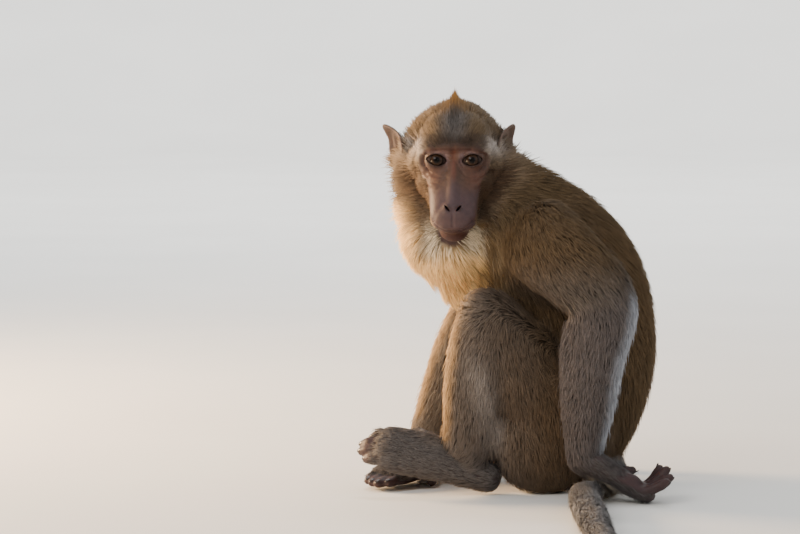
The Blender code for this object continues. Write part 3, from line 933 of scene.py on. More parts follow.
def head_flow():
    """Away from the bridge of the nose and back, fanning out above the brows."""
    away = unit(np.column_stack([F_AXIS - 22, S_AXIS, U_AXIS + 14]))
    away = away * 0.75 + np.array((-0.75, 0, 0))
    brow = ramp(SEEN_UP, 10, 16) * ramp(F_AXIS, -62, -22)
    away[:, 1] += brow * np.clip(S_AXIS / 16, -1, 1) * 0.7
    away[:, 2] += brow * 0.5
    away[:, 2] -= ramp(F_AXIS, -45, -75) * 0.9  # down the back of the head
    return unit(away @ np.array(HEAD_TURN).T)


def lie_of_hair():
    flow = np.where(HEAD[:, None], head_flow(), body_flow())
    for _ in range(7):
        flow = spread(flow, E, 6)
        flow = unit(flow - (flow * N).sum(1)[:, None] * N)
    return flow


FLOW = lie_of_hair()
print("lie of the hair at", len(FLOW), "corners")

# %% [markdown]
# Length in millimetres, from long on throat and breast to very short on fingers and at the edge of
# the face, and the number of locks per area, which rises where hair is fine and short.

# %% Length and density
LENGTHS = {
    "trunk": 21, "neck": 23, "upper_arm": 17, "forearm": 13, "thigh": 17, "shin": 14, "tail": 13,
    "hand": 8, "foot": 9, "seat_pad": 4, "ear": 4, "head": 13,
}
DENSITIES = {
    "trunk": 1.0, "neck": 1.2, "upper_arm": 1.2, "forearm": 1.35, "thigh": 1.1, "shin": 1.35,
    "tail": 1.7, "hand": 1.6, "foot": 2.0, "seat_pad": 0.5, "ear": 0.9, "head": 2.4,
}
LENGTH = by_part(SKIN_PART, LENGTHS, 12)
DENSITY = by_part(SKIN_PART, DENSITIES, 1.0)
ruff = HEAD * ramp(np.abs(S_AXIS), 16, 30) * ramp(U_AXIS, 8, -14) * ramp(F_AXIS, -6, -22)
LENGTH += ruff * 11
breast = is_part("trunk", "neck") * ramp(-N[:, 0], 0.0, 0.6) * ramp(P[:, 2], 140, 190)
LENGTH += breast * 7
LENGTH = np.maximum(LENGTH, spread(COAT * 1.2, E, 4))  # so that tips reach the hull
near_face = HEAD * ramp(face_edge, -14, 0) * ramp(F_AXIS, -34, -24)
LENGTH = LENGTH * (1 - 0.62 * near_face * (1 - 0.6 * ruff))
DENSITY = DENSITY * (1 + 0.9 * near_face)
for side in SIDES:  # the hair parts on top of the shoulder, so it is denser there
    off = np.linalg.norm(P - np.array(SHOULDER[side]) - np.array((0, 0, 22)), axis=1)
    DENSITY = DENSITY * (1 + 0.8 * ramp(off, 42, 18))
LENGTH = spread(LENGTH, E, 6)
LENGTH = np.where(EAR, 4.0, LENGTH)
DENSITY = spread(DENSITY, E, 4) * (1 - BARE) ** 1.5
print("hair length", round(float(LENGTH.min()), 1), "to", round(float(LENGTH.max()), 1), "mm")

# %% [markdown]
# ## Markings
#
# Colours are written as sRGB hex, as a paint chart gives them, and turned to the linear values that
# the renderer works with by one function. Each marking is a soft mask over the corners of the skin:
# a cream breast and throat, pale cheeks and temples, a golden crest, a pale stripe down the back of
# each forearm, a paler calf, and the flushed colours of the bare face. Some marks are painted light:
# a warm glow of low evening sun on the cream of the upper breast, a golden rim light on the front of
# the shins, and painted shade in the crease under the brow, in the nostrils and on the skin under the hair.

# %% Hex colours and paint
def linear(hex_colour):
    """sRGB hex text to the linear red, green and blue that shaders use."""
    made = []
    for start in (1, 3, 5):
        c = int(hex_colour[start : start + 2], 16) / 255
        made.append(c / 12.92 if c <= 0.04045 else ((c + 0.055) / 1.055) ** 2.4)
    return np.array(made)


def painted(base, hex_colour, mask):
    """The colours of base, covered by one more colour where the mask is on."""
    mask = np.clip(mask, 0, 1)[:, None]
    return base * (1 - mask) + linear(hex_colour) * mask


print("mid grey #808080 is", linear("#808080").round(3), "in linear light")

# %% Colours of the coat
COAT_COLOURS = {
    "trunk": "#5b4933", "neck": "#57462f", "head": "#64523c", "upper_arm": "#5a5149",
    "forearm": "#5c5553", "hand": "#4d4847", "thigh": "#564a3f", "shin": "#5e554e",
    "foot": "#55504e", "tail": "#7d7a79", "ear": "#6f6259", "seat_pad": "#6b6158",
}


def calf_middle(z, side):
    """x of the pale streak down the calf, which follows the bone from knee to ankle."""
    knee, ankle = KNEE[side], ANKLE[side]
    share = (knee.z - z) / (knee.z - ankle.z)
    return knee.x - 20 + (ankle.x - knee.x + 51) * share


def body_markings():
    """Each part's own colour, the pale fields of breast, arms, legs and tail, and painted light: a golden
    glow on the upper breast and a golden rim on the front of the shins.
    """
    own = [next(COAT_COLOURS[start] for start in COAT_COLOURS if name.startswith(start)) for name in PARTS]
    colour = spread(np.array([linear(hex_colour) for hex_colour in own])[SKIN_PART], E, 25)
    x, y, z = P.T
    front = ramp(-N[:, 0], 0.35, 0.85) * ramp(N[:, 2], 0.45, 0.1)
    trunk = near_part(4, "trunk", "neck")
    colour = painted(colour, "#d6c19c", trunk * front * ramp(x, -42, -70))  # breast and belly
    # Painted light: the cream fur of the upper breast, made brighter and golden as a glow of low evening
    # sun, placed by position alone.
    bib_and_glow = spread((is_part("trunk", "neck", "head") * ramp(x, -62, -90)).astype(float), E, 3)
    colour = painted(colour, "#ffd394", 0.97 * bib_and_glow * ramp(z, 262, 240) * ramp(z, 135, 150))
    inner = np.where(y < 0, ramp(N[:, 1], 0.2, 0.8), ramp(-N[:, 1], 0.2, 0.8))
    outer = 1 - inner
    limbs = near_part(3, "upper_arm", "forearm", "thigh", "shin")
    colour = painted(colour, "#7a6c5c", 0.55 * limbs * inner)
    shoulder = ramp(near_part(12, "upper_arm"), 0.0, 0.2) * ramp(z, 185, 222)
    colour = painted(colour, "#594731", 0.95 * shoulder)
    fore = near_part(6, "forearm")
    colour = painted(colour, "#a5a9b2", 0.9 * fore * ramp(N[:, 0], 0.4, 0.85) * ramp(z, 35, 60))
    # Painted rim light: the front edge of each shin, which faces the evening light, is golden.
    rim_lit_shins = near_part(4, "shin") * ramp(z, 45, 70)
    colour = painted(colour, "#b4936a", 0.8 * rim_lit_shins * ramp(-N[:, 0], 0.55, 0.9))  # golden front edge
    calf = near_part(4, "shin", "thigh")
    middle = np.where(y < 0, calf_middle(z, "left"), calf_middle(z, "right"))
    streak = bump(x - middle, 0, 9)
    streak_ends = ramp(z, 40, 62) * ramp(z, 140, 112)
    colour = painted(colour, "#8d857f", 0.75 * calf * streak * outer * streak_ends)
    colour = painted(colour, "#635039", 0.5 * calf * ramp(x, -38, -10) * outer)  # haunch
    return painted(colour, "#c8baa4", 0.8 * is_part("tail") * ramp(-N[:, 2], 0.1, 0.7))


def head_markings(colour):
    """Pale throat and temples, darker cheeks and brows, and the golden crest."""
    side = np.abs(S_AXIS)
    throat = HEAD * ramp(U_AXIS, -34, -50) * ramp(F_AXIS, 24, 6) * ramp(side, 34, 24)
    colour = painted(colour, "#d9c8ac", throat)
    cheek = HEAD * ramp(side, 16, 26) * ramp(side, 52, 42) * ramp(U_AXIS, 4, -8) * ramp(F_AXIS, -50, -38)
    cheek *= 1 - ramp(side, 32, 38) * ramp(SEEN_UP, -18, -28)
    colour = painted(colour, "#75634f", 0.8 * cheek)
    whiskers = HEAD * ramp(face_edge, -13, -5) * ramp(SEEN_UP, -1, -8) * ramp(SEEN_UP, -62, -48)
    colour = painted(colour, "#4f3c2d", 0.9 * whiskers * ramp(F_AXIS, -52, -36))
    temple = HEAD * bump(side, 31, 8) * bump(SEEN_UP, 10, 7) * ramp(F_AXIS, -44, -30)
    colour = painted(colour, "#aba098", 0.9 * temple)
    forehead = HEAD * ramp(SEEN_UP, 11, 16) * ramp(F_AXIS, -40, -24)
    colour = painted(colour, "#55504e", 0.9 * forehead * ramp(side, 16, 4) * ramp(F_AXIS, -22, -8))
    brow_hair = HEAD * bump(SEEN_UP, 12.5, 4.5) * ramp(side, 28, 22) * ramp(F_AXIS, -30, -20)
    colour = painted(colour, "#382c25", 0.9 * brow_hair)
    crest = HEAD * bump(side, 0, 8) * ramp(U_AXIS, 20, 28) * ramp(F_AXIS, -50, -38) * ramp(F_AXIS, -12, -20)
    return painted(colour, "#b07e42", 0.85 * crest)


COAT_MARKING = spread(head_markings(body_markings()), E, 2)
print("mean colour of the coat, in linear light", COAT_MARKING.mean(0).round(3))


# %% Colours of the bare skin
def face_markings(colour):
    """The brown face, flushed on the cheeks and greyer on the muzzle, its darker lines, and painted shade
    in the crease under the brow and in the nostrils.
    """
    side = np.abs(S_AXIS)
    y = SEEN_UP
    colour = painted(colour, "#4e3a30", FACE)
    colour = painted(colour, "#4d3c3e", 0.85 * FACE * ramp(y, -18, -34))  # muzzle
    colour = painted(colour, "#623c30", 0.5 * FACE * bump(side, 20, 9) * bump(y, -15, 9))  # cheeks
    colour = painted(colour, "#856e70", 0.7 * FACE * bump(side, 7.2, 2.4) * bump(y, 2, 6))  # inner corners
    bridge = bump(side, 0, 2.2) * ramp(y, -24, -8) * ramp(y, 12, 8)
    colour = painted(colour, "#643a2e", 0.7 * FACE * bridge)
    eye_x = side - 15.5
    around = np.hypot(eye_x / 1.35, y)
    colour = painted(colour, "#7c6565", 0.6 * FACE * bump(y, 7.0, 2.0) * bump(eye_x, -1, 9))  # upper lids
    colour = painted(colour, "#4a3129", 0.6 * FACE * bump(around, 8.5, 2.0) * ramp(y, 4, -2))  # lower lids
    colour = painted(colour, "#2b1c1a", 0.85 * FACE * ramp(around, 6.9, 6.1))  # rims
    # Painted shade: a dark line in the crease under the brow ridge.
    crease = 9.5 - 0.010 * np.maximum(side - 12, 0) ** 2.1
    colour = painted(colour, "#3c2018", 0.9 * FACE * bump(y, crease, 1.4))  # under the brow
    brow = HEAD * ramp(y - crease, 0.5, 3) * ramp(y, 18, 14) * ramp(side, 29, 25) * ramp(F_AXIS, -30, -22)
    colour = painted(colour, "#3d2b24", 0.9 * brow)
    lip = FACE * bump(y, -65, 4.5) * ramp(side, 15, 9) * ramp(F_AXIS, 4, 12)
    colour = painted(colour, "#3c211a", 0.9 * lip)
    below_nose = bump(side, 0, 5.5) * ramp(y, -12, -24) * ramp(y, -50, -44)
    colour = painted(colour, "#4b3c40", 0.65 * FACE * below_nose)
    # Painted shade: the nostrils and the skin round them are darkened, as the openings lie in shade.
    nostril = np.hypot(side - 4.6, (y + 42) / 0.9)
    return painted(colour, "#2c1c1b", 0.7 * FACE * ramp(nostril, 4.2, 2.2) * ramp(F_AXIS, 24, 30))


def skin_markings(coat):
    """The coat's colour, darkened to 0.85 as painted shade under the hair, and the colours of every bare
    place.
    """
    # Painted shade: under the hair the skin is the coat's colour darkened, as the coat shades it.
    colour = face_markings(coat * 0.85)
    colour = painted(colour, "#6b574d", 0.85 * EAR)
    paws = is_part("hand", "foot")
    colour = painted(colour, "#3b3030", 0.9 * paws)
    colour = painted(colour, "#412f2f", 0.8 * paws * BARE)
    colour = painted(colour, "#a06a62", 0.85 * ramp(FROM_PAD, 1.35, 1.1))
    return spread(colour, E, 1)


def store(mesh, name, values):
    """Keeps one number, or one colour, per corner as a named attribute for the material."""
    if values.ndim == 1:
        mesh.attributes.new(name, "FLOAT", "POINT").data.foreach_set("value", values.astype(np.float32))
    else:
        full = np.ones((len(values), 4), np.float32)
        full[:, :3] = values
        mesh.attributes.new(name, "FLOAT_COLOR", "POINT").data.foreach_set("color", full.ravel())


store(skin.data, "marking", skin_markings(COAT_MARKING))
skin.data.shade_smooth()
print("skin painted at", len(P), "corners")

# %% [markdown]
# ## The coat
#
# Blender's own hair is lost when a model is exported, so every lock here is a small closed mesh: a
# thin three-sided spindle with a bend in the middle. Roots are scattered over the skin by area and
# density. Length and depth of the coat give the angle at which a lock leaves the skin, and it bends
# down towards its tip as real hair does. Neighbouring tips are drawn together a little, because a
# coat falls into small wedges and never looks combed.

# %% Scatter the roots
LOCKS = 245000
LONG = 7.0  # locks longer than this bend, shorter ones are straight


def roots_on(mesh):
    """Triangle corners and weights of every root."""
    mesh.calc_loop_triangles()
    corners = np.empty(len(mesh.loop_triangles) * 3, np.int32)
    mesh.loop_triangles.foreach_get("vertices", corners)
    corners = corners.reshape(-1, 3)
    a, b, c = (P[corners[:, k]] for k in range(3))
    area = np.linalg.norm(np.cross(b - a, c - a), axis=1) / 2
    share = area * DENSITY[corners].mean(1)
    print("coated skin", int(area[DENSITY[corners].mean(1) > 0.2].sum()), "square mm")
    chosen = CHANCE.choice(len(corners), LOCKS, p=share / share.sum())
    u, v = CHANCE.random((2, LOCKS))
    flip = u + v > 1
    u[flip], v[flip] = 1 - u[flip], 1 - v[flip]
    return corners[chosen], np.column_stack([1 - u - v, u, v])


ROOT_CORNERS, ROOT_WEIGHTS = roots_on(skin.data)


def at_roots(values):
    """The skin's values at each root, blended from the three corners round it."""
    picked = values[ROOT_CORNERS]
    weights = ROOT_WEIGHTS if picked.ndim == 2 else ROOT_WEIGHTS[:, :, None]
    return (picked * weights).sum(1)


# %% What each root knows
ROOT = at_roots(P)
ROOT_N = unit(at_roots(N))
ROOT_PART = SKIN_PART[ROOT_CORNERS[:, 0]]
ROOT_HEAD = head_axes(ROOT)
ROOT_ON_HEAD = at_roots(HEAD.astype(float)) > 0.5
ROOT_RUFF = at_roots(ruff)
STRAY = CHANCE.random(LOCKS) < 0.03 + 0.05 * ROOT_RUFF
print("stray hairs", int(STRAY.sum()))


# %% Shape the locks
def lock_lines():
    """Middle, tip and length of every lock."""
    flow = at_roots(FLOW)
    across = np.cross(ROOT_N, flow)
    sway = 0.22 * noise(ROOT, 17, 1) + 0.16 * noise(ROOT, 6, 2) + CHANCE.normal(0, 0.10, LOCKS)
    way = unit(flow + across * sway[:, None])
    length = at_roots(LENGTH) * CHANCE.uniform(0.72, 1.15, LOCKS)
    rise = np.clip(at_roots(COAT) / np.maximum(at_roots(LENGTH), 1), 0.10, 0.80)
    rise = rise + 0.05 * noise(ROOT, 9, 3) + CHANCE.normal(0, 0.04, LOCKS)
    rise = np.where(STRAY, rise + 0.15, rise)
    length = np.where(STRAY, length * 1.15, length)
    angle = np.arcsin(np.clip(rise, 0.06, 0.9))
    first, last = angle * 1.45, angle * (0.55 + 0.3 * ROOT_RUFF)
    lower = way * np.cos(first)[:, None] + ROOT_N * np.sin(first)[:, None]
    upper = way * np.cos(last)[:, None] + ROOT_N * np.sin(last)[:, None]
    upper = unit(upper + np.array((0, 0, -0.12)))
    middle = ROOT + lower * (length * 0.48)[:, None]
    tip = middle + upper * (length * 0.52)[:, None]
    return middle, tip, length


MIDDLE, TIP, LOCK_LENGTH = lock_lines()
print("locks", LOCKS, "mean length", round(float(LOCK_LENGTH.mean()), 1), "mm")


# %% Wedges, hull and crest
def crest_lines(middle, tip):
    """Locks of the crest all aim at one point above the forehead, those round it a little."""
    f, s, u = ROOT_HEAD.T
    reach = np.hypot((f + 26) / 14, s / 11)
    drawn = np.flatnonzero((reach < 1.5) & (u > 22) & ROOT_ON_HEAD)
    reach = reach[drawn]
    peak = np.array(on_head(-30, 0, 60))
    goal = peak + CHANCE.normal(0, 1.5, (len(drawn), 3)) * (0.4 + reach)[:, None]
    share = (1.0 - 0.45 * reach) * CHANCE.uniform(0.7, 1.0, len(drawn))
    new_tip = ROOT[drawn] + (goal - ROOT[drawn]) * np.clip(share, 0.2, 1)[:, None]
    new_middle = (ROOT[drawn] + new_tip) / 2 + ROOT_N[drawn] * 1.0
    pull = ramp(reach, 1.5, 0.8)[:, None]
    middle[drawn] += (new_middle - middle[drawn]) * pull
    tip[drawn] += (new_tip - tip[drawn]) * pull
    print("locks drawn to the crest", len(drawn))


def gathered(tip, every=9, pull=0.24):
    """Draws each tip towards the tip of the nearest leading lock."""
    leaders = np.arange(0, LOCKS, every)
    tree = KDTree(len(leaders))
    for i in leaders.tolist():
        tree.insert(tip[i], i)
    tree.balance()
    found = np.array([tree.find(t)[1] for t in tip.tolist()])
    return tip + (tip[found] - tip) * pull


def kept_inside(tip, middle):
    """Pulls back tips that reach beyond the hull. Stray hairs may stand out from it."""
    over = np.where(STRAY, 2.5 + 3.5 * ROOT_RUFF, 0.8)
    moved = 0
    for i, place in enumerate((tip * MM).tolist()):
        near, normal = hull_tree.find_nearest(place)[:2]
        beyond = (Vector(place) - near).dot(normal) / MM
        if beyond > over[i]:
            back = np.array(normal) * (beyond - over[i])
            tip[i] -= back
            middle[i] -= back * 0.5
            moved += 1
    print("tips pulled back", moved)


TIP = gathered(TIP)
kept_inside(TIP, MIDDLE)
crest_lines(MIDDLE, TIP)
MIDDLE[:, 2] = np.maximum(MIDDLE[:, 2], 0.8)
TIP[:, 2] = np.maximum(TIP[:, 2], 0.5)

# %% [markdown]
# Each body part has its own piece of coat, small enough to export. Every lock also gets a patch in
# a map named OFBake, 0.003 wide, at the place of its root on an unwrap of the part: along its bones
# one way and round them the other, so that colours baked into the map land where the lock grows.

# %% Pieces of the coat
FACE_TO_NAPE = [on_head(40, 0, -45), on_head(-90, 0, 10)]
COAT_PIECES = {}  # how the names of a piece's parts start, and the line that it is unwrapped along
for side in SIDES:
    COAT_PIECES[f"coat_trunk_{side}"] = (("trunk",), SPINE)
COAT_PIECES["coat_neck"] = (("neck",), SPINE)
for side in SIDES:
    COAT_PIECES[f"coat_head_{side}"] = (("head", "ear"), FACE_TO_NAPE)
for side in SIDES:
    arm = (f"upper_arm_{side}", f"forearm_{side}", f"hand_{side}")
    COAT_PIECES[f"coat_arm_{side}"] = (arm, [SHOULDER[side], ELBOW[side], WRIST[side], KNUCKLES[side]])
for side in SIDES:
    COAT_PIECES[f"coat_thigh_{side}"] = ((f"thigh_{side}",), [HIP[side], KNEE[side]])
for side in SIDES:
    shin = (f"shin_{side}", f"foot_{side}")
    COAT_PIECES[f"coat_shin_{side}"] = (shin, [KNEE[side], ANKLE[side], BALL[side]])
COAT_PIECES["coat_tail"] = (("tail", "seat_pad"), TAIL_LINE)
print(len(COAT_PIECES), "pieces of coat")

# %% Unwrap of a piece
PATCH = 0.003


def unwrapped(points, line):
    """Place of each root on an unwrap of its part: along the bones, and round them."""
    _, share, way, offset = line_place(points, line)
    first = unit(np.cross(way, np.tile((0.13, 0.02, 0.99), (len(points), 1))))
    second = np.cross(way, first)
    turn = np.arctan2((offset * second).sum(1), (offset * first).sum(1))
    return np.column_stack([share, turn / (2 * math.pi) + 0.5]) * (1 - PATCH)


# %% Thickness and shade of the locks
LOCK_WIDTH = by_part(
    np.arange(len(PARTS)),
    {"head": 0.6, "ear": 0.4, "hand": 0.5, "foot": 0.5, "tail": 0.5, "neck": 0.75},
    0.72,
)
MARKING_AT_ROOT = at_roots(COAT_MARKING)
SHADE = np.clip(0.5 + 0.22 * noise(ROOT, 5, 4) + CHANCE.normal(0, 0.17, LOCKS), 0, 1)
print("width of a lock", LOCK_WIDTH.min(), "to", LOCK_WIDTH.max(), "mm")

# %% Spindles and straight spikes
SPINDLE = np.array([(0, 1, 2), (0, 2, 3), (0, 3, 1), (2, 1, 4), (3, 2, 4), (1, 3, 4)])
SPINDLE_PATCH = np.array([(0.5, 0), (0, 0.45), (1, 0.45), (0.5, 0.55), (0.5, 1)]) * PATCH
STRAIGHT = np.array([(0, 1, 2), (0, 3, 1), (1, 3, 2), (2, 3, 0)])
STRAIGHT_PATCH = np.array([(0, 0), (1, 0), (0.5, 0.1), (0.5, 1)]) * PATCH


def spikes(chosen, bent, line):
    """Points, triangles, place along the lock and bake map of closed spikes, rooted in the skin."""
    root, middle, tip = ROOT[chosen], MIDDLE[chosen], TIP[chosen]
    along = unit(tip - root)
    side = unit(np.cross(ROOT_N[chosen], along) + 1e-6)
    lift = np.cross(along, side)
    width = (LOCK_WIDTH[ROOT_PART[chosen]] * CHANCE.uniform(0.75, 1.25, len(chosen)))[:, None]
    ring = [side * 0.5, side * -0.5, lift * 0.42]
    sunk = root - ROOT_N[chosen] * 0.6
    if bent:
        points = np.stack([sunk, *(middle + r * width for r in ring), tip], axis=1)
    else:
        points = np.stack([*(sunk + r * width for r in ring), tip], axis=1)
    pattern = SPINDLE if bent else STRAIGHT
    count = points.shape[1]
    faces = pattern[None] + count * np.arange(len(chosen))[:, None, None]
    patch = SPINDLE_PATCH if bent else STRAIGHT_PATCH
    places = unwrapped(root, line)[:, None, :] + patch[None]
    share = np.tile(patch[:, 1] / PATCH, len(chosen))
    return points.reshape(-1, 3), faces.reshape(-1), share, places.reshape(-1, 2)


# %% Mesh the locks
SOFTNESS = 0.55  # how far a lock is shaded as the coat round it, as soft fur is, and not as a spike


def lock_mesh(name, chosen, line):
    """One mesh of bent long locks and straight short ones."""
    groups = []
    start = 0
    for bent in (True, False):
        group = chosen[(LOCK_LENGTH[chosen] > LONG) == bent]
        if len(group):
            points, faces, along, places = spikes(group, bent, line)
            owner = np.repeat(group, len(points) // len(group))
            groups.append((points, faces + start, along, places, owner))
            start += len(points)
    points, faces, along, places, owner = map(np.concatenate, zip(*groups))
    mesh = bpy.data.meshes.new(name)
    mesh.vertices.add(len(points))
    mesh.vertices.foreach_set("co", (points * MM).astype(np.float32).ravel())
    mesh.loops.add(len(faces))
    mesh.loops.foreach_set("vertex_index", faces.astype(np.int32))
    mesh.polygons.add(len(faces) // 3)
    mesh.polygons.foreach_set("loop_start", np.arange(0, len(faces), 3, dtype=np.int32))
    mesh.update(calc_edges=True)
    mesh.shade_smooth()
    soft = unit(normals_of(mesh) * (1 - SOFTNESS) + ROOT_N[owner] * SOFTNESS)
    mesh.normals_split_custom_set_from_vertices(soft)
    store(mesh, "along", along)
    store(mesh, "shade", SHADE[owner])
    store(mesh, "marking", MARKING_AT_ROOT[owner])
    layer = mesh.uv_layers.new(name="OFBake")
    layer.data.foreach_set("uv", places[faces].astype(np.float32).ravel())
    return placed(name, mesh)


def on_its_side(name, chosen):
    """Trunk and head are parted down the middle. Other pieces stay whole."""
    if not name.startswith(("coat_head", "coat_trunk")):
        return chosen
    leftwards = ROOT_HEAD[:, 1] if name.startswith("coat_head") else -ROOT[:, 1]
    return chosen & ((leftwards >= 0) == name.endswith("left"))


COATS = []
for name, (starts, line) in COAT_PIECES.items():
    wanted = [i for i, part in enumerate(PARTS) if part.startswith(starts)]
    chosen = np.flatnonzero(on_its_side(name, np.isin(ROOT_PART, wanted)))
    COATS.append(lock_mesh(name, chosen, line))
    print(name, len(chosen), "locks,", len(COATS[-1].data.polygons), "triangles")

# %% [markdown]
# ## Eyes and nails
#
# The eyeball is a fine sphere turned so that its pole looks along the gaze, with the clear front
# bulging a little. Each corner keeps its angle from the pole, and the material paints pupil, iris
# and dark rim by that angle. A macaque shows hardly any white.

# %% Eyes
def eyeball(side):
    bm = bmesh.new()
    turn = GAZE.to_track_quat("Z", "Y").to_matrix().to_4x4()
    bmesh.ops.create_uvsphere(bm, u_segments=64, v_segments=48, radius=1.0)
    angles = []
    for vert in bm.verts:
        angle = math.acos(max(-1.0, min(1.0, vert.co.z)))
        angles.append(angle)
        bulge = 0.55 * math.exp(-((angle / math.radians(24)) ** 2))
        vert.co *= (EYE_RADIUS + bulge) * MM
    bmesh.ops.transform(bm, matrix=Matrix.Translation(EYES[side] * MM) @ turn, verts=bm.verts)
    obj = object_from(bm, f"eyeball_{side}")
    store(obj.data, "from_pupil", np.degrees(np.array(angles)) / 90)
    obj.data.shade_smooth()
    return obj


EYEBALLS = [eyeball(side) for side in SIDES]
print("eyeballs", [len(obj.data.polygons) for obj in EYEBALLS], "faces")


# %% Nails
def all_nails():
    """A dark, narrow, curved nail on the outside of each last bone."""
    bm = bmesh.new()
    for tip, direction, across, outside, radius in NAILS:
        turn = Matrix((direction, across, outside)).transposed()
        tilt = Matrix.Rotation(math.radians(14), 3, across)
        centre = tip + direction * 0.6 + outside * radius * 0.5
        ellipsoid(bm, centre, (3.5, 2.2, 1.1), tilt @ turn, detail=3)
    obj = object_from(bm, "nails")
    obj.data.shade_smooth()
    return obj


nails = all_nails()
print("nails", len(nails.data.polygons), "faces")

# %% [markdown]
# ## Materials
#
# One small function adds a shader node with its settings, its values and its links, so each material
# reads as a list of nodes. All patterns lie on object coordinates, which are in metres, so their
# scale is worked out from the real size of the grain.

# %% Node helper
def add(tree, kind, values=None, links=None, stops=None, **settings):
    """A node. A stop of a colour ramp is (position, grey value or hex colour)."""
    made = tree.nodes.new(kind)
    for name, value in settings.items():
        setattr(made, name, value)
    for name, value in (values or {}).items():
        made.inputs[name].default_value = value
    for name, source in (links or {}).items():
        tree.links.new(source, made.inputs[name])
    if stops:
        elements = made.color_ramp.elements
        while len(elements) < len(stops):
            elements.new(0.5)
        for element, (position, value) in zip(elements, stops):
            element.position = position
            rgb = linear(value) if isinstance(value, str) else (value, value, value)
            element.color = (*rgb, 1.0)
    return made


def new_material(name):
    material = bpy.data.materials.new(name)
    material.use_nodes = True
    material.node_tree.nodes.clear()
    return material, material.node_tree


def per_metre(size):
    """How often a grain of this size, in mm, comes in one metre, to the nearest whole number."""
    return float(round(1 / (size * MM)))


MULTIPLIED = {"data_type": "RGBA", "blend_type": "MULTIPLY"}  # a Mix node that multiplies two colours
FIRST, SECOND, MIXED = 6, 7, 2  # its colour sockets
print("a pore every 0.667 mm is a scale of", per_metre(0.6667))

# %% [markdown]
# ### Agouti hair
#
# A macaque's hair is keratin, which has an IOR of 1.55, and each hair is banded dark and gold: that
# is called agouti. One hair shines, but where hairs cross they break up the light, so a coat gives
# the eye only a dull, broad sheen. Hence the high roughness of 0.62 and a specular level well below
# the usual 0.5. Each lock is dark at its root, where it lies in shade, and lightens along its length.
# Locks differ in tone by up to half. The marking carries the colour of the place that it grows from.
# Blender's own hair shader would be truer, but the exported model can't carry it.

# %% Coat material: agouti hair
coat_material, tree = new_material("agouti_hair")
marking = add(tree, "ShaderNodeAttribute", attribute_name="marking")
along = add(tree, "ShaderNodeAttribute", attribute_name="along")
shade = add(tree, "ShaderNodeAttribute", attribute_name="shade")
# Painted shade: each lock is darker towards its root, where the coat round it shades it, and a little
# darker again at the tip.
shade_to_root = add(
    tree,
    "ShaderNodeValToRGB",
    stops=[(0.0, 0.48), (0.3, 0.62), (0.55, 0.78), (0.82, 1.0), (1.0, 0.95)],
    links={"Fac": along.outputs["Fac"]},
)
lock_tone = add(
    tree,
    "ShaderNodeValToRGB",
    stops=[(0.0, 0.55), (0.5, 0.82), (0.85, 1.0), (1.0, 1.25)],
    links={"Fac": shade.outputs["Fac"]},
)
hair_shaded_at_root = add(
    tree,
    "ShaderNodeMix",
    values={0: 1.0},
    links={FIRST: marking.outputs["Color"], SECOND: shade_to_root.outputs["Color"]},
    **MULTIPLIED,
)
toned = add(
    tree,
    "ShaderNodeMix",
    values={0: 1.0},
    links={FIRST: hair_shaded_at_root.outputs[MIXED], SECOND: lock_tone.outputs["Color"]},
    **MULTIPLIED,
)
brighter = add(  # makes up for what the bands and tones take away on average
    tree,
    "ShaderNodeVectorMath",
    operation="SCALE",
    values={"Scale": 1.4},
    links={0: toned.outputs[MIXED]},
)
hair = add(
    tree,
    "ShaderNodeBsdfPrincipled",
    values={"Roughness": 0.62, "Specular IOR Level": 0.18},
    links={"Base Color": brighter.outputs[0]},
)
add(tree, "ShaderNodeOutputMaterial", links={"Surface": hair.outputs[0]})
print(coat_material.name, len(tree.nodes), "nodes")

# %% [markdown]
# ### Skin of face, palms and soles
#
# Skin has an IOR of 1.4 and a roughness of about 0.5. It gives the eye a soft, slightly oily gloss
# in patches, and light that enters it comes out again a little way off, which rounds small folds.
# The painted marking gets blotches 4.5 mm wide, pores 0.67 mm apart and creases 1.8 mm apart. The
# roughness follows the blotches, because skin is oilier in places. Down finer than any lock here
# dulls a macaque's face, so the specular level is lower than bare skin would have.

# %% Skin material
skin_material, tree = new_material("face_and_palm_skin")
marking = add(tree, "ShaderNodeAttribute", attribute_name="marking")
place = add(tree, "ShaderNodeTexCoord").outputs["Object"]
blotches = add(
    tree, "ShaderNodeTexNoise", values={"Scale": per_metre(4.545), "Detail": 4.0}, links={"Vector": place}
)
pores = add(tree, "ShaderNodeTexVoronoi", values={"Scale": per_metre(0.6667)}, links={"Vector": place})
creases = add(
    tree, "ShaderNodeTexNoise", values={"Scale": per_metre(1.818), "Detail": 6.0}, links={"Vector": place}
)
blotch_tone = add(
    tree,
    "ShaderNodeValToRGB",
    stops=[(0.3, 0.78), (0.7, 1.0)],
    links={"Fac": blotches.outputs["Fac"]},
)
skin_colour = add(
    tree,
    "ShaderNodeMix",
    values={0: 1.0},
    links={FIRST: marking.outputs["Color"], SECOND: blotch_tone.outputs["Color"]},
    **MULTIPLIED,
)
heights = add(
    tree,
    "ShaderNodeMath",
    operation="MULTIPLY_ADD",
    values={1: 0.5},
    links={0: pores.outputs["Distance"], 2: creases.outputs["Fac"]},
)
relief = add(
    tree,
    "ShaderNodeBump",
    values={"Strength": 0.25, "Distance": 0.5 * MM},
    links={"Height": heights.outputs[0]},
)
gloss = add(
    tree,
    "ShaderNodeMapRange",
    values={"To Min": 0.42, "To Max": 0.62},
    links={"Value": blotches.outputs["Fac"]},
)
flesh = add(
    tree,
    "ShaderNodeBsdfPrincipled",
    values={"Specular IOR Level": 0.22, "Subsurface Weight": 0.06, "Subsurface Scale": 2 * MM},
    links={
        "Base Color": skin_colour.outputs[MIXED],
        "Roughness": gloss.outputs[0],
        "Normal": relief.outputs[0],
    },
)
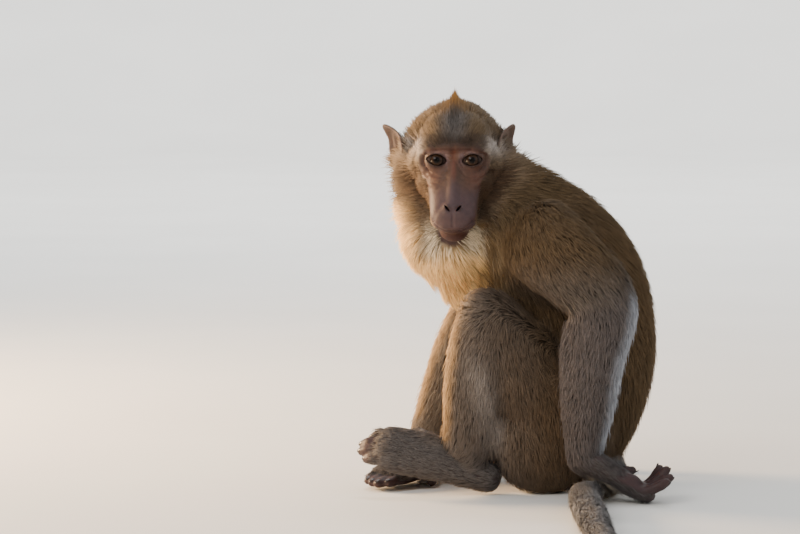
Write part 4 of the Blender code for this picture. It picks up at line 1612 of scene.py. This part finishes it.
add(tree, "ShaderNodeOutputMaterial", links={"Surface": flesh.outputs[0]})
print(skin_material.name, len(tree.nodes), "nodes")

# %% [markdown]
# ### Wet eye
#
# The cornea is clear, has an IOR of 1.376 and is always wet, so it is as smooth as glass and gives
# the eye one small sharp glint. A clear shell over a sunken iris would be closest, but the iris is
# only a millimetre or two below it and the eye is 9 mm in radius, so one surface carries both. The
# ramp runs from the pupil at 0 to a quarter turn away at 1: pupil, brown iris, dark rim, brown white.
# Lids and brow shade a real eye more than these, so the specular level is low, or the pale room
# would veil the iris.

# %% Eye material: wet cornea over a brown iris
eye_material, tree = new_material("wet_eye")
angle = add(tree, "ShaderNodeAttribute", attribute_name="from_pupil")
rings = add(
    tree,
    "ShaderNodeValToRGB",
    stops=[
        (0.0, "#040302"), (0.15, "#060403"),  # pupil
        (0.18, "#241710"), (0.29, "#382619"), (0.365, "#21150e"),  # iris
        (0.395, "#120c09"),  # dark rim of the iris
        (0.43, "#2a201c"), (0.6, "#493c37"),  # brown white of the eye
    ],
    links={"Fac": angle.outputs["Fac"]},
)
place = add(tree, "ShaderNodeTexCoord").outputs["Object"]
fibres = add(  # fibres of the iris, drawn 1.1 mm wide, coarser than real ones, so that they show
    tree, "ShaderNodeTexNoise", values={"Scale": per_metre(1.111), "Detail": 3.0}, links={"Vector": place}
)
fibre_tone = add(
    tree,
    "ShaderNodeValToRGB",
    stops=[(0.3, 0.7), (0.7, 1.0)],
    links={"Fac": fibres.outputs["Fac"]},
)
iris = add(
    tree,
    "ShaderNodeMix",
    values={0: 0.7},
    links={FIRST: rings.outputs["Color"], SECOND: fibre_tone.outputs["Color"]},
    **MULTIPLIED,
)
cornea = add(
    tree,
    "ShaderNodeBsdfPrincipled",
    values={"Roughness": 0.06, "Specular IOR Level": 0.14},
    links={"Base Color": iris.outputs[MIXED]},
)
add(tree, "ShaderNodeOutputMaterial", links={"Surface": cornea.outputs[0]})
print(eye_material.name, len(tree.nodes), "nodes")

# %% [markdown]
# ### Dark horn
#
# Nails are keratin worn smooth, so they give the eye a duller gloss than varnish and a sharper one
# than hair: a roughness of 0.32. They are nearly black with browner streaks, drawn 1.7 mm wide.

# %% Nail material: dark horn
nail_material, tree = new_material("dark_horn")
place = add(tree, "ShaderNodeTexCoord").outputs["Object"]
streaks = add(
    tree, "ShaderNodeTexNoise", values={"Scale": per_metre(1.667), "Detail": 3.0}, links={"Vector": place}
)
horn_colour = add(
    tree,
    "ShaderNodeValToRGB",
    stops=[(0.3, "#1d1614"), (0.7, "#3a2d29")],
    links={"Fac": streaks.outputs["Fac"]},
)
horn = add(
    tree,
    "ShaderNodeBsdfPrincipled",
    values={"Roughness": 0.32},
    links={"Base Color": horn_colour.outputs["Color"]},
)
add(tree, "ShaderNodeOutputMaterial", links={"Surface": horn.outputs[0]})
print(nail_material.name, len(tree.nodes), "nodes")

# %% Dress every piece
DRESSED = [(skin, skin_material), (nails, nail_material)]
DRESSED += [(obj, eye_material) for obj in EYEBALLS]
DRESSED += [(obj, coat_material) for obj in COATS]
for obj, material in DRESSED:
    obj.data.materials.clear()
    obj.data.materials.append(material)
print(len(DRESSED), "pieces dressed")

# %% [markdown]
# ## Floor, light and camera
#
# The floor is a pale matt dish whose rim curves up far away, so no horizon shows from any side. It
# lies a hair's breadth below the model, so the two surfaces never fight for the same place. Its
# blotches are a third of a metre wide and barely show: they only keep it from looking like paper.

# %% Floor
FLOOR_RINGS, FLOOR_TURNS = 39, 96


def plain_floor():
    bm = bmesh.new()
    middle = bm.verts.new((0, 0, 0))
    turns = [2 * math.pi * k / FLOOR_TURNS for k in range(FLOOR_TURNS)]
    previous = None
    for step in range(1, FLOOR_RINGS + 1):
        radius = 12.0 * step / FLOOR_RINGS
        height = 0.35 * max(0.0, radius - 5.5) ** 1.6
        ring = [bm.verts.new((radius * math.cos(t), radius * math.sin(t), height)) for t in turns]
        if previous:
            banded(bm, previous, ring)
        else:
            for k in range(FLOOR_TURNS):
                bm.faces.new((middle, ring[k], ring[(k + 1) % FLOOR_TURNS]))
        previous = ring
    obj = object_from(bm, "floor")
    obj.data.shade_smooth()
    obj.location.z = -0.2 * MM
    return obj


floor = plain_floor()
floor_material, tree = new_material("pale_matt_floor")
place = add(tree, "ShaderNodeTexCoord").outputs["Object"]
grain = add(
    tree, "ShaderNodeTexNoise", values={"Scale": per_metre(333.3), "Detail": 2.0}, links={"Vector": place}
)
tone = add(
    tree,
    "ShaderNodeValToRGB",
    stops=[(0.3, "#e3e2de"), (0.7, "#e8e7e3")],
    links={"Fac": grain.outputs["Fac"]},
)
paint = add(
    tree,
    "ShaderNodeBsdfPrincipled",
    values={"Roughness": 0.85},
    links={"Base Color": tone.outputs["Color"]},
)
add(tree, "ShaderNodeOutputMaterial", links={"Surface": paint.outputs[0]})
floor.data.materials.append(floor_material)
print("floor", len(floor.data.polygons), "faces")

# %% [markdown]
# A wide soft key light stands in front on the camera's left, and a weaker, cooler one fills the
# right. Two small warm lights do the work of a low evening sun: one behind on the left edges the
# coat, and one close to the floor lights the chest and the shins. The backdrop wash shines on the
# floor's far rim alone.

# %% Lights
def area_light(name, place, target, size, power, hex_colour):
    light = bpy.data.lights.new(name, "AREA")
    light.shape = "DISK"
    light.size = size
    light.energy = power
    light.color = linear(hex_colour)
    obj = placed(name, light)
    obj.location = place
    obj.rotation_euler = (Vector(target) - Vector(place)).to_track_quat("-Z", "Y").to_euler()


CHEST = (-0.03, -0.02, 0.18)
area_light("key", (-1.1, -1.5, 1.4), CHEST, 1.1, 20, "#fff8f0")
area_light("fill", (1.5, -1.3, 0.9), CHEST, 1.4, 5, "#eef3ff")
area_light("evening_rim", (-1.38, 0.6, 0.52), CHEST, 0.5, 70, "#ffd3a0")
area_light("backdrop_wash", (0.0, 2.6, 5.0), (0.0, 9.0, 0.4), 3.0, 600, "#ffffff")
area_light("low_glow", (-1.35, -0.6, 0.12), (-0.1, -0.03, 0.2), 0.35, 8, "#ffdcb0")
world = bpy.data.worlds.new("pale_studio")
world.use_nodes = True
sky = world.node_tree.nodes["Background"].inputs
sky["Color"].default_value = (*linear("#e6e8ea"), 1.0)
sky["Strength"].default_value = 0.95
bpy.context.scene.world = world
print("lights", [light.name for light in bpy.data.lights])

# %% [markdown]
# The camera looks straight down the animal's gaze from 3 m away with a long lens, so near and far
# limbs keep their true proportions.

# %% Camera
VIEW_CENTRE = Vector((-0.1408, -0.03, 0.198))
VIEW_DISTANCE = 3.0
VIEW_WIDTH = 0.704  # what the picture takes in, in metres, at that distance
lens = bpy.data.cameras.new("camera")
lens.sensor_width = 36.0
lens.lens = lens.sensor_width * VIEW_DISTANCE / VIEW_WIDTH
camera = placed("camera", lens)
camera.location = VIEW_CENTRE + GAZE * VIEW_DISTANCE
camera.rotation_euler = (VIEW_CENTRE - camera.location).to_track_quat("-Z", "Y").to_euler()
bpy.context.scene.camera = camera
print("focal length", round(lens.lens, 1), "mm")

# %% [markdown]
# ## Hand over
#
# Skin, eyeballs and nails stand in for the CAD's nodes, and every piece rides on the one body.

# %% Ride, replace, finish
remove(hull)
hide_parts(*FLESH)
for obj, side in zip(EYEBALLS, SIDES):
    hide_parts(f"eye_{side}")
for obj in (skin, nails, *EYEBALLS, *COATS):
    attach(obj, "root")
